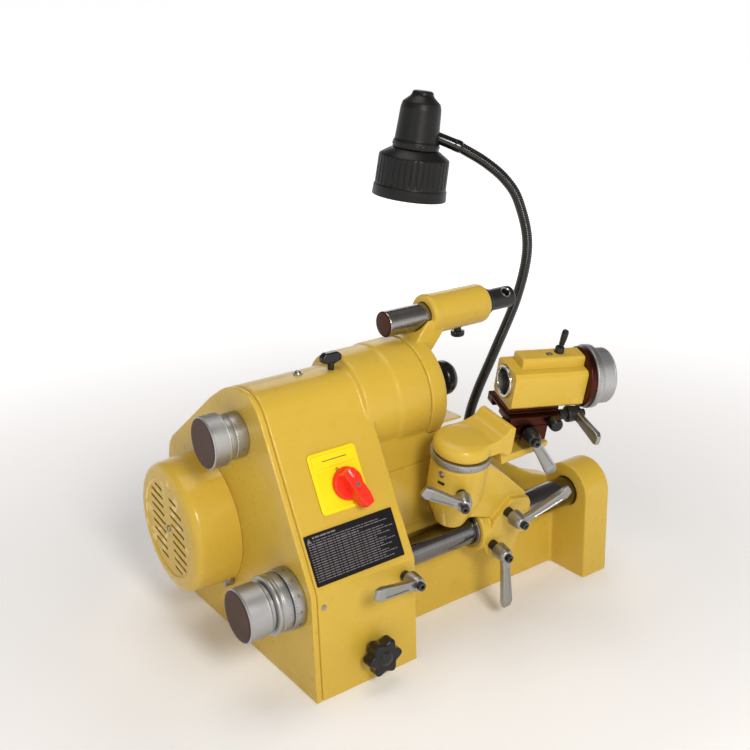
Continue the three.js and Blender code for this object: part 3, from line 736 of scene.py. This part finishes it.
def make_lever(name, at, stem, lean, reach=1.0, dark=False):
    black = joined(
        lathe(soften([(0, 0), (0, 5.4), (stem + 0.5, 5.4), (stem + 0.5, 0)], 0.5, 3), 48),
        moved(socket_screw(4.2, 4.6, 2.2), shift(0, 0, stem + 15.8)))
    put(f"{name}_screw", black, at, name, BLACKED)
    hub = lathe(soften([(stem, 0), (stem, 8.4), (stem + 3, 8.6), (stem + 12, 7.6), (stem + 15, 6.6),
                        (stem + 15.8, 5), (stem + 15.8, 0)], 1.4, 5), 64)
    rings = []
    cos, sin = math.cos(lean), math.sin(lean)
    for x, half, low, high, dip in (
            (0.5, 4.6, 0.4, 6.1, 0), (6, 5.3, 0.1, 6.4, 0), (13, 5.0, 0.1, 6.4, 0),
            (15, 5.0, 0.1, 6.4, 0), (17, 5.0, 0.1, 6.4, 0.9), (30, 5.5, 0.1, 6.5, 0.9),
            (48, 6.2, 0.1, 6.5, 0.9), (50, 6.3, 0.1, 6.5, 0), (54.5, 6.6, 0.1, 6.5, 0),
            (59.2, 5.3, 0.2, 5.4, 0), (60.6, 4.9, 0.8, 4.8, 0), (61, 4.0, 1.4, 4.2, 0)):
        x = x * reach
        c = min(1.5, half * 0.4, (high - low) * 0.3)
        right = [(half - c, low), (half - 0.3 * c, low + 0.3 * c), (half, low + c),
                 (half, high - c), (half - 0.3 * c, high - 0.3 * c), (half - c, high),
                 (half - c - 0.8, high), (half - c - 1.3, high - dip)]
        left = [(-y, z) for y, z in reversed(right)]
        rings.append([(x * cos - z * sin, y, stem + 8 + x * sin + z * cos)
                      for y, z in left[-1:] + right + left[:-1]])
    if dark:
        put(f"{name}_hub", hub, at, name, BLACKED, bevel=0.4, steps=2, limit=40)
        skin(f"{name}_handle", loft(rings[1:]), at, name, CAST_ALU, bevel=0.4, steps=2, limit=40)
    else:
        arm = union(hub, loft(rings))
        skin(f"{name}_handle", arm, at, name, CAST_ALU, bevel=0.5, steps=2, limit=40)


def make_levers():
    def front(parent, x, y, z, angle):
        return parent @ shift(x, y, z) @ OUT_FRONT @ turn(math.radians(angle), "Z")
    make_lever("bar_lock_lever", front(MACHINE, 104, -0.3, 98, 165), 8, 0.24)
    make_lever("boss_lever", front(CARRIAGE @ turn(-0.54, "Z"), 0, -28.9, 75, 152), 7, 0.24, 0.85)
    make_lever("flange_upper_lever", front(CARRIAGE, 54.5, -25.2, 29.5, 36), 9, 0.24)
    make_lever("flange_lower_lever", front(CARRIAGE, 41.5, -25.2, -8, -88), 9, 0.24)
    make_lever("tilt_lever", front(HEAD, 20.6, -28.3, -44.2, -56), 2, 0.08, 0.78, True)
    make_lever("slide_lever", HEAD @ shift(55.3, -20.5, -30.8) @ ALONG_X @
               turn(math.radians(-86), "Z"), 8, 0.05, 0.78, True)


# ------------------------------------------------------------------ front controls


def make_controls():
    pts = []
    for k in range(144):
        a = 2 * math.pi * k / 144
        r = 16.8 + 2.4 * math.cos(6 * a)
        pts.append((r * math.cos(a), r * math.sin(a)))
    head = prism(pts, 7, 20)
    star = MACHINE @ shift(66, -0.3, 32) @ OUT_FRONT
    skin("star_knob_head", head, star, "star_knob", BLACK, bevel=2.2, steps=4)
    hub = lathe(soften([(0, 0), (0, 8.5), (5, 8), (7.5, 9), (7.5, 0)], 0.8), 64)
    put("star_knob_hub", hub, star, "star_knob", BLACK)
    cap = lathe(soften([(19.5, 0), (19.5, 7.6), (21, 6.8), (22, 4), (22, 0)], 0.6), 64)
    put("star_knob_cap", cap, star, "star_knob", BLACKED)
    thumb = MACHINE @ shift(99, 104, 279.4)
    wing = prism_y([(-11, 9.5), (-11.3, 14.5), (-7, 18.4), (7, 18.4), (11.3, 14.5), (11, 9.5),
                    (5, 7.4), (-5, 7.4)], -4, 4)
    skin("thumb_wing", wing, thumb, "top_thumb_knob", BLACK, bevel=1.5, steps=4)
    stem = lathe(soften([(0, 0), (0, 3.3), (6.6, 3.3), (7.4, 5), (8.4, 5), (8.4, 0)], 0.4), 48)
    put("thumb_stem", stem, thumb, "top_thumb_knob", BLACKED)
    skin("oil_cup_dome", lathe([(0, 0), (0, 4.6), (1, 4.7), (1.6, 4.4), (1.8, 3.6), (2.6, 3.3),
                                (3.5, 2.5), (4.1, 1.3), (4.3, 0)], 64),
         MACHINE @ shift(66, 112, 280), "oil_cup", STEEL)
    put("front_hole", lathe([(0, 0), (0, 2.6), (0.5, 2.8), (0.7, 2.4), (0.5, 1.9), (0.1, 0)], 40),
        MACHINE @ shift(12.9, -0.1, 98) @ OUT_FRONT, "bed_casting", STEEL)
    make_label()
    make_switch()


def rounded_box(x0, x1, y0, y1, r, steps=6):
    return arc(x1 - r, y0 + r, r, -90, 0, steps) + arc(x1 - r, y1 - r, r, 0, 90, steps) + \
        arc(x0 + r, y1 - r, r, 90, 180, steps) + arc(x0 + r, y0 + r, r, 180, 270, steps)


def make_label():
    skin("label_foil_plate", prism(rounded_box(8.7, 106.8, 6, 53, 1.2), 0.3, 1.0), PANEL,
         "label_plate", LABEL, bevel=0.15, steps=2)
    ink = (0.95, 1.04)
    lines = []
    row = 0
    y = 49.6
    while y > 8.5:
        heading = row in (0, 3)
        start = 17 if row in (0, 1) else 11
        end = (42 if row == 0 else 66) if heading else 104 - (row * 37 % 23)
        x = start
        k = row * 5
        while x < end:
            word = 2.2 + (k * 7 % 5) * 1.1
            stop = min(x + word, end)
            tall = 1.5 if row == 0 else 1.0 if heading else 0.72
            lines.append(block(x, stop, y - tall / 2, y + tall / 2, *ink))
            x = stop + 0.9
            k += 1
        y -= 3.1 if row == 0 else 2.25
        row += 1
    lines.append(prism([(10.5, 45.6), (15.5, 45.6), (13, 50.2)], *ink))
    put("label_lines", joined(*lines), PANEL, "label_plate", PALE_INK)


def make_switch():
    base = prism(rounded_box(34, 87, 64.5, 122, 4), 0.3, 2.6)
    skin("switch_base", base, PANEL, "switch_plate", YELLOW, bevel=0.8)
    put("switch_header", prism(rounded_box(37, 84, 107, 119, 1.2), 2.2, 4.2), PANEL,
        "switch_plate", YELLOW, bevel=0.5)
    border = cut(prism(rounded_box(36.5, 84.5, 66.5, 105, 2.5), 2.2, 3.1),
                 prism(rounded_box(37.1, 83.9, 67.1, 104.4, 2.1), 2.0, 4.0))
    put("switch_border", border, PANEL, "switch_plate", YELLOW)
    marks = joined(moved(figure("0", 6, 0.2), shift(61, 102, 2.8)),
                   moved(figure("1", 6, 0.2), shift(78.5, 97, 2.8)),
                   block(47, 74, 112.6, 113.4, 4.1, 4.3))
    put("switch_marks", marks, PANEL, "switch_plate", INK)
    knob = PANEL @ shift(67, 87, 0) @ turn(math.radians(20), "Z")
    disc = lathe(soften([(3.4, 0), (3.4, 16), (6.4, 15.6), (8, 14.6), (8, 0)], 0.7), 96)
    skin("switch_disc", disc, knob, "switch_knob", RED)
    grip_line = [(-4.6, -26), (4.6, -26), (6.6, -17), (6.2, 12), (4, 13.4), (-4, 13.4), (-6.2, 12),
                 (-6.6, -17)]
    put("switch_grip", prism(grip_line, 7, 21), knob, "switch_knob", RED, bevel=1.4, steps=4)
    put("switch_pointer", block(-1.1, 1.1, 5, 12.4, 20.9, 21.0), knob, "switch_knob", WHITE_INK)
    put("switch_dimple", lathe([(20.9, 0), (20.9, 2), (21.05, 2.2), (21.08, 1.7), (20.98, 0)], 40),
        knob @ shift(0, -3, 0), "switch_knob", STEEL)


# ------------------------------------------------------------------ bar, dresser, wheel


def make_bar():
    bar = lathe(soften([(62.5, 6.7), (62.5, 16), (380, 16), (380, 0)], 0.6)
                + [(103.9, 0), (103.9, 6.7), (62.5, 6.7)], 128)
    skin("slide_bar_chromed", bar, BAR_X, "slide_bar", CHROME)
    bush = lathe(soften([(26, 16.4), (26, 20.6), (28.4, 20.6), (28.4, 18), (98, 18), (98, 16.4)],
                        0.3, 3, True), 96, True)
    skin("bush_sleeve", bush, CARRIAGE @ ALONG_X, "bracket_bush", STEEL)


def make_dresser():
    bar = lathe([(168.6, 0), (168.6, 11), (168.7, 12.2), (169.3, 13.1), (170.2, 13.4)]
                + dense([(170.4, 13.4), (297.6, 13.4)], 6) + [(298, 13.2), (298, 0)], 96)
    face_look(skin("dresser_bar_round", bar, DRESSER_X, "dresser_bar", [STEEL, FACED]),
              169.1)
    head = lathe(soften([(298.4, 0), (298.4, 15), (304.5, 15), (307, 11.8), (338, 11.8),
                         (340, 10.4), (340, 0)], 0.8), 96)
    head.transform(ALONG_X)
    across = shift(327, 0, 0) @ turn(-0.774, "X") @ OUT_FRONT
    skin("holder_head", cut(head, moved(rod(-20, 20, 4.7, 48), across)), DRESSER,
         "diamond_holder", BLACKED, bevel=0.3, steps=2)
    axis = DRESSER @ across
    rim = lathe(soften([(9.6, 4.75), (9.6, 5.9), (11.75, 5.9), (12.1, 5.6), (11.4, 4.75)], 0.15, 2,
                       True), 64, True)
    put("holder_rim", rim, axis, "diamond_holder", STEEL)
    tool = lathe([(-9, 0), (-9, 4.1), (-8.8, 4.3), (4.6, 4.3), (5, 4.1), (7.2, 1.4), (7.9, 0.5),
                  (8, 0)], 48)
    skin("diamond_insert", tool, axis, "diamond_tool", STEEL)
    skin("dresser_clamp", grip_screw(), DRESSER @ shift(266, 0, 0), "dresser_screw", BLACKED)


def grip_screw():
    return lathe(soften([(-31, 0), (-31, 6), (-29.8, 7.2), (-26, 7.6), (-25, 7), (-25, 4),
                         (-21.4, 4), (-21.4, 0)], 0.4), 72, False,
                 lambda a, p, r: r - (0.35 if r > 6.9 and math.cos(24 * a) < 0 else 0))


def make_wheel():
    cup = lathe([(184, 9.4), (184, 40), (186, 44), (207, 50), (207, 38), (198, 34), (196, 32),
                 (196, 9.4)], 128, True)
    skin("wheel_cup", cup, SPINDLE_X, "grinding_wheel", ABRASIVE)
    nut = cut(prism(arc(0, 0, 19, 0, 300, 5), 196.3, 208), rod(190, 210, 9.35, 48))
    skin("wheel_nut_hex", nut, SPINDLE_X, "wheel_nut", STEEL, bevel=0.8)
    put("wheel_nut_sleeve", tube(207, 240, 13, 9.35, 64), SPINDLE_X, "wheel_nut", STEEL)
    cap = lathe(soften([(240.4, 9.35), (240.4, 13), (242, 17.6), (244.5, 19), (251, 19),
                        (256, 16.4), (258.5, 10), (258.5, 3)], 1.2, 4)
                + [(255.6, 2.6), (255.6, 9.35)], 96)
    skin("arbor_cap_turned", cap, SPINDLE_X, "arbor_cap", BLACK)
    shaft = lathe(soften([(70, 0), (70, 9), (255, 9), (255, 0)], 0.5), 64)
    skin("spindle_shaft", shaft, SPINDLE_X, "spindle", STEEL)


# ------------------------------------------------------------------ carriage


def make_carriage():
    clamp = lathe(soften([(28.8, 0), (28.8, 25), (97, 25), (97, 0)], 1.2), 96)
    clamp.transform(ALONG_X)
    flange = prism_y([(34, -12), (38, -22), (46, -31), (64, -34), (74, -28), (80, -12), (88, 18),
                      (89, 28), (84, 37), (60, 42), (40, 20)], -24.8, 6)
    boss = lathe(soften([(20, 0), (20, 14), (48, 26), (57, 28.6), (99.4, 28.6), (99.4, 0)], 5, 6),
                 128)
    web = prism_y([(0, 36), (28.8, 26), (60, 12), (92, 10), (84, 40), (56, 66), (24, 92), (0, 92)],
                  -18, 18)
    body = cut(union(clamp, flange, boss, web), rod_x(20, 100, 18.4), rod(58, 101, 12.4))
    skin("bracket_skin", cast(body, 0.9, 6), CARRIAGE, "swivel_bracket", PAINT, sharp=CAST_SHARP)
    skin("boss_ring_band", tube(99.7, 106.6, 30.4, 12.4, 160, 0.4), CARRIAGE, "boss_ring", ALU)
    put("boss_ring_marks", graduations(30.4, 99.9, 72, [], 3, 1, 4.6, 3), CARRIAGE,
        "boss_ring", INK)
    oiler = lathe([(0, 0), (0, 3.4), (0.7, 3.5), (0.9, 2.9), (0.4, 2.3), (1.2, 1.6), (1.5, 0)], 48)
    put("boss_oiler", oiler, CARRIAGE @ turn(-1.327, "Z") @ shift(0, -28.4, 90.4) @ OUT_FRONT,
        "swivel_bracket", STEEL)
    # A flat black sheet stands in for the slot's recess: painted shade.
    put("boss_slot_shade", prism(rounded_box(-4, 4, -1.6, 1.6, 1.5), 0, 0.5),
        CARRIAGE @ turn(-1.29, "Z") @ shift(0, -28.45, 80.8) @ OUT_FRONT, "swivel_bracket", BLACKED)
    crown = lathe(soften([(107, 0), (107, 29), (116, 29), (120.5, 26.4), (123, 19), (124, 0)],
                         7, 8), 128)
    side = soften([(0, 107), (31, 107), (40, 101), (46, 101), (46, 133), (40, 133), (33, 125),
                   (20, 122), (0, 121.5)], 4, 5, True)
    rise = prism_y(side, -24, 24)
    tongue = prism_y([(36, 101), (40, 88), (95, 90), (102, 93), (102, 97.5), (46, 97.5), (42, 102)],
                     -19, 16)
    body = union(crown, rise, tongue, rod(60, 108, 12, 64))
    skin("arm_skin", cast(body, 0.9, 8), CARRIAGE, "swivel_arm", PAINT, sharp=CAST_SHARP)


# ------------------------------------------------------------------ workhead


def make_head():
    rail = prism_x([(-13, -37.5), (13, -37.5), (17, -31), (-17, -31)], 14, 48)
    pivot = rod(0, 26, 13, 64)
    pivot.transform(HEAD.inverted() @ CARRIAGE @ shift(46.6, -2, 116) @ ALONG_X)
    pivot = cut(pivot, block(-60, 60, -60, 60, -37.3, 0))
    base = union(block(14, 41, -28, 28, -54, -37), rail, pivot)
    skin("tilt_base_block", base, HEAD, "tilt_base", BROWNED, bevel=0.9)
    slide = union(block(-2, 55, -28, 28, -36.7, -27), block(0, 55, -19, 19, -28, -22.4))
    groove = [(-13.5, -37.5), (13.5, -37.5), (17.8, -30.6), (-17.8, -30.6)]
    slide = cut(slide, prism_x(groove, -4, 57))
    skin("slide_block", slide, HEAD, "dovetail_slide", BROWNED, bevel=0.9)
    knob = HEAD @ shift(44.5, -28.3, -31.6) @ OUT_FRONT
    head = lathe(soften([(0, 0), (0, 3), (2.7, 3), (2.7, 6.6), (3.6, 7), (10, 7), (12.2, 6.2),
                         (13.2, 4.6), (13.2, 0)], 0.8, 4), 72)
    skin("slide_screw_head", head, knob, "slide_screw", BLACK)
    for k, y in enumerate((-15, 0, 15)):
        put(f"scale_screw_{k + 1}", slotted_screw(1.7, 0.9),
            HEAD @ shift(14, y, -45.5) @ turn(-math.pi / 2, "Y"), "tilt_base", STEEL)
    outline = [(-18.5, -22), (18.5, -22), (22, -18.5), (22, 14), (18.5, 17.5), (-18.5, 17.5),
               (-22, 14), (-22, -18.5)]
    crest = prism_x([(-9, 15), (13, 15), (13, 26), (11, 28), (-7, 28), (-9, 26)], 11, 79)
    body = cut(union(prism_x(outline, 0, 79), crest), rod_x(-1, 80, 16.6),
               block(40, 47, -2, 4, 22, 30))
    skin("workhead_block", cast(body, 0.5, 4), HEAD, "workhead_body", PAINT, sharp=CAST_SHARP)
    pin = lathe(soften([(24.5, 0), (24.5, 2.4), (28.8, 2.4), (28.8, 0)], 0.4), 40)
    put("crest_pin", pin, HEAD @ shift(43.5, 1, 0), "workhead_body", STEEL)
    sleeve = lathe(soften([(-2.5, 13.2), (-2.5, 16.2), (85.5, 16.2), (85.5, 13.2)], 0.5, 3, True),
                   128, True)
    skin("collet_sleeve_turned", sleeve, HEAD_X, "collet_sleeve", BORE)
    flange = lathe(soften([(79.4, 16.6), (79.4, 30), (80.4, 31), (85.6, 31), (85.6, 16.6)], 0.4, 3,
                          True), 128, True)
    skin("index_flange_disc", flange, HEAD_X, "index_flange", BROWNED)
    dial = lathe(soften([(86, 13.4), (86, 31.6), (87, 32.6), (92.6, 32.6), (94, 31.4), (94, 13.4)],
                        0.4, 3, True), 160, True)
    skin("index_dial_ring", dial, HEAD_X, "index_dial", ALU)
    put("index_dial_marks", graduations(32.6, 87.1, 72, [], 3, 1, 2.8, 1.7), HEAD_X,
        "index_dial", INK)
    body = ([(94.4, 13.4), (94.4, 27.6), (95, 28.1)],
            [(108.6, 28.1), (109.6, 27.6), (110.4, 26.6), (110.4, 20), (109.6, 13.4)])
    knob = joined(grip(95.4, 108.2, 28.4, 116, 0.3, body, 464),
                  lathe([(94.4, 13.4), (109.6, 13.4)], 464))
    bmesh.ops.remove_doubles(knob, verts=knob.verts, dist=WELD)
    bmesh.ops.recalc_face_normals(knob, faces=knob.faces)
    skin("hand_knob_grip", knob, HEAD_X, "hand_knob", GRIP, sharp=GRIP_SHARP)
    lever = HEAD @ shift(55, 3, 28.3)
    put("index_lever_base", lathe(soften([(0, 0), (0, 5), (6, 4.4), (6, 0)], 0.6), 48), lever,
        "index_lever", BLACKED)
    rings = []
    for z, a, b in ((2, 2.2, 2.8), (6, 2.1, 2.6), (9, 2.6, 3.4), (16, 3.1, 4.0), (21, 3.2, 4.2),
                    (23.4, 2.7, 3.7), (24.2, 1.6, 2.6)):
        rings.append([(a * math.cos(t) + 0.12 * z, b * math.sin(t), z)
                      for t in [2 * math.pi * k / 28 for k in range(28)]])
    skin("index_lever_handle", loft(rings), lever, "index_lever", BLACK)


# ------------------------------------------------------------------ lamp

NECK = [(0, 0, 44.4), (3, -0.4, 90), (8, -2, 139), (17, -8, 176), (33, -20, 225), (54, -36, 293),
        (61, -44, 352), (53, -38, 401), (41, -28.5, 427), (22, -15.5, 447.5), (0.2, -0.1, 464.3)]


def spline(knots, per):
    pts = [Vector(k) for k in knots]
    pts = [pts[0] * 2 - pts[1]] + pts + [pts[-1] * 2 - pts[-2]]
    out = []
    for a, b, c, d in zip(pts, pts[1:], pts[2:], pts[3:]):
        for k in range(per):
            t = k / per
            out.append(0.5 * ((2 * b) + (c - a) * t + (2 * a - 5 * b + 4 * c - d) * t * t
                              + (3 * b - a - 3 * c + d) * t ** 3))
    out.append(pts[-2])
    return out


def hose(points, pitch, base, swell, per, segs):
    """A corrugated hose along the points."""
    length = [0.0]
    for a, b in zip(points, points[1:]):
        length.append(length[-1] + (b - a).length)
    total = length[-1]
    count = int(total / pitch)
    side = Vector((1, 0, 0))
    rings = []
    j = 0
    for k in range(count * per + 1):
        s = total * k / (count * per)
        while j < len(points) - 2 and length[j + 1] < s:
            j += 1
        t = (s - length[j]) / (length[j + 1] - length[j])
        centre = points[j].lerp(points[j + 1], t)
        ahead = (points[min(j + 2, len(points) - 1)] - points[max(j - 1, 0)]).normalized()
        side = (side - ahead * side.dot(ahead)).normalized()
        up = ahead.cross(side)
        r = base + swell * (0.5 - 0.5 * math.cos(2 * math.pi * k / per)) ** 0.7
        rings.append([centre + (side * math.cos(a) + up * math.sin(a)) * r
                      for a in [2 * math.pi * m / segs for m in range(segs)]])
    return loft(rings)


def make_lamp():
    foot = lathe(soften([(24.3, 0), (24.3, 20), (28, 20), (30, 19), (33, 11), (44, 9), (44, 0)],
                        1.2, 5), 96)
    skin("lamp_base_turned", foot, LAMP_FOOT, "lamp_base", BLACK)
    skin("gooseneck_hose", hose(spline(NECK, 24), 2.6, 5.7, 0.4, 6, 28), LAMP_FOOT, "gooseneck",
         HOSE, sharp=70)
    fitting = lathe(soften([(-6, 0), (-6, 6.4), (15, 6.6), (16, 6.9), (21.5, 6.9), (23.5, 6.2),
                            (23.5, 0)], 0.6, 4), 72)
    skin("coupling_barrel", fitting, LAMP @ shift(-11.6, 0, 1.6) @ turn(0.42, "Y") @ ALONG_X,
         "lamp_coupling", HOSE)
    housing = lathe(soften([(-6, 22), (-6, 26), (1.4, 26), (3.4, 24.6), (38, 22.6), (44, 21),
                            (50, 14), (52, 12.4), (56, 11.4), (57, 8), (57, 0)], 1.6, 5)
                    + [(40, 0), (36, 19), (-6, 22)], 128)
    skin("housing_shell", housing, SHADE, "lamp_housing", LAMP_SKIN, sharp=50)
    beads = []
    for k in range(24):
        a = 2 * math.pi * k / 24
        beads.append(moved(lathe([(0, 0), (0, 0.9), (0.5, 0.8), (0.8, 0)], 12),
                           turn(a, "Z") @ shift(26, 0, -1.5) @ ALONG_X))
    put("housing_beads", joined(*beads), SHADE, "lamp_housing", HOSE)

    rib_low, rib_high, ribs = -46, -15.5, 36

    def rib(angle, place, radius):
        if not rib_low < place < rib_high or radius < 38:
            return radius
        wave = abs((angle * ribs / (2 * math.pi)) % 1 - 0.5)
        fade = min(1.0, (place - rib_low) / 2, (rib_high - place) / 2)
        return radius - fade * max(0.0, min(1.0, (0.16 - wave) * 14 + 0.4))
    outer = [(-60, 40.4), (-59.6, 41.7), (-58.6, 42), (-48.4, 41.4), (-47.4, 40.6),
             (-46.6, 40.3)] + \
        dense([(-46.2, 40.3), (-15.4, 39.6)], 2.0) + [(-14, 38.8), (-7.2, 28.6), (-6.4, 27.4)]
    inner = [(-6.4, 22.4), (-9.4, 22.4), (-16, 35), (-60, 37.4)]
    shade = lathe(outer + inner, 432, True, rib)
    skin("shade_shell", shade, SHADE, "lamp_shade", LAMP_SKIN, sharp=35)
    bulb = lathe(soften([(-46, 0), (-44.5, 10), (-36, 18), (-26, 20), (-16, 16), (-10, 12),
                         (-4, 11), (30, 11), (30, 0)], 5, 5), 64)
    skin("bulb_glass", bulb, SHADE, "lamp_bulb", GLASS)


# ------------------------------------------------------------------ everything

for make in (make_bed, make_end_cover, make_guard, make_wall_cover, make_cowl, make_knobs,
             make_levers, make_controls, make_bar, make_dresser, make_wheel, make_carriage,
             make_head, make_lamp):
    make()
for inside in ("motor_shaft", "motor_pulley", "spindle_pulley", "quill", "wheel_flange"):
    in_place(inside, STEEL)
in_place("motor_body", IRON)
in_place("cooling_fan", BLACK)
in_place("drive_belt", RUBBER)

# ------------------------------------------------------------------ studio


def floor():
    bm = bmesh.new()
    bmesh.ops.create_circle(bm, cap_ends=True, radius=14.0, segments=96)
    ob = to_object(bm, "studio_floor")
    ob.location.z = -0.0005

    def draw(tree, where):
        reach = add(tree, "ShaderNodeVectorMath", {0: where}, operation="LENGTH")
        # Painted light: the floor glows, faintly under the machine, where it lifts the shadow, and
        # more strongly towards the rim.
        glow = spread(tree, reach.outputs["Value"], 0.35, 1.6, 0.1, 0.85)
        return {"Base Color": (0.92, 0.915, 0.92), "Roughness": 0.9,
                "Emission Color": (1.0, 1.0, 1.0), "Emission Strength": glow}
    ob.data.materials.append(make_look("glowing_floor_paper", draw))


def area(name, place, target, size, power, colour):
    data = bpy.data.lights.new(name, "AREA")
    data.shape = "DISK"
    data.size = size
    data.energy = power
    data.color = colour
    ob = new_object(name, data)
    ob.location = place
    ob.rotation_mode = "QUATERNION"
    ob.rotation_quaternion = (Vector(target) - Vector(place)).to_track_quat("-Z", "Y")


def studio():
    floor()
    middle = (0.0, 0.0, 0.2)
    area("key", (-0.42, -1.35, 1.02), middle, 0.42, 14.5, (1.0, 0.965, 0.9))
    area("fill", (-2.6, -0.9, 1.3), middle, 1.6, 5, (1.0, 0.97, 0.93))
    area("top", (0.0, 0.2, 2.8), middle, 1.8, 20, (1.0, 0.98, 0.96))
    area("back", (1.6, 2.2, 1.5), middle, 1.4, 8, (0.97, 0.98, 1.0))
    world = bpy.data.worlds.new("studio")
    bpy.context.scene.world = world
    world.use_nodes = True
    tree = world.node_tree
    where = add(tree, "ShaderNodeTexCoord").outputs["Generated"]
    height = add(tree, "ShaderNodeSeparateXYZ", {0: where}).outputs[2]
    ramp = add(tree, "ShaderNodeValToRGB", {"Fac": height})
    stops = ramp.color_ramp.elements
    stops[0].color = (1, 1, 1, 1)
    stops[1].position = 0.75
    stops[1].color = (0.13, 0.12, 0.115, 1)
    for position, colour in ((0.14, (0.98, 0.98, 0.98, 1)), (0.34, (0.26, 0.24, 0.23, 1))):
        stops.new(position).color = colour
    feed(tree, tree.nodes["Background"], {"Color": ramp.outputs["Color"], "Strength": 1.0})
    bpy.context.scene.view_settings.view_transform = "Standard"
    bpy.context.scene.view_settings.look = "None"


def camera():
    data = bpy.data.cameras.new("camera")
    data.lens = 48.75
    data.sensor_width = 36
    data.clip_start = 0.05
    data.clip_end = 60
    ob = new_object("camera", data)
    right = Vector((0.8116679, -0.58323472, -0.03213224))
    up = Vector((0.21234818, 0.2433775, 0.94640142))
    back = Vector((-0.5441539, -0.77498688, 0.32139054))
    turned = Matrix((right, up, back)).transposed().to_4x4()
    ob.matrix_world = Matrix.Translation((-0.6049, -0.8177, 0.5908)) @ turned
    bpy.context.scene.camera = ob


studio()
camera()
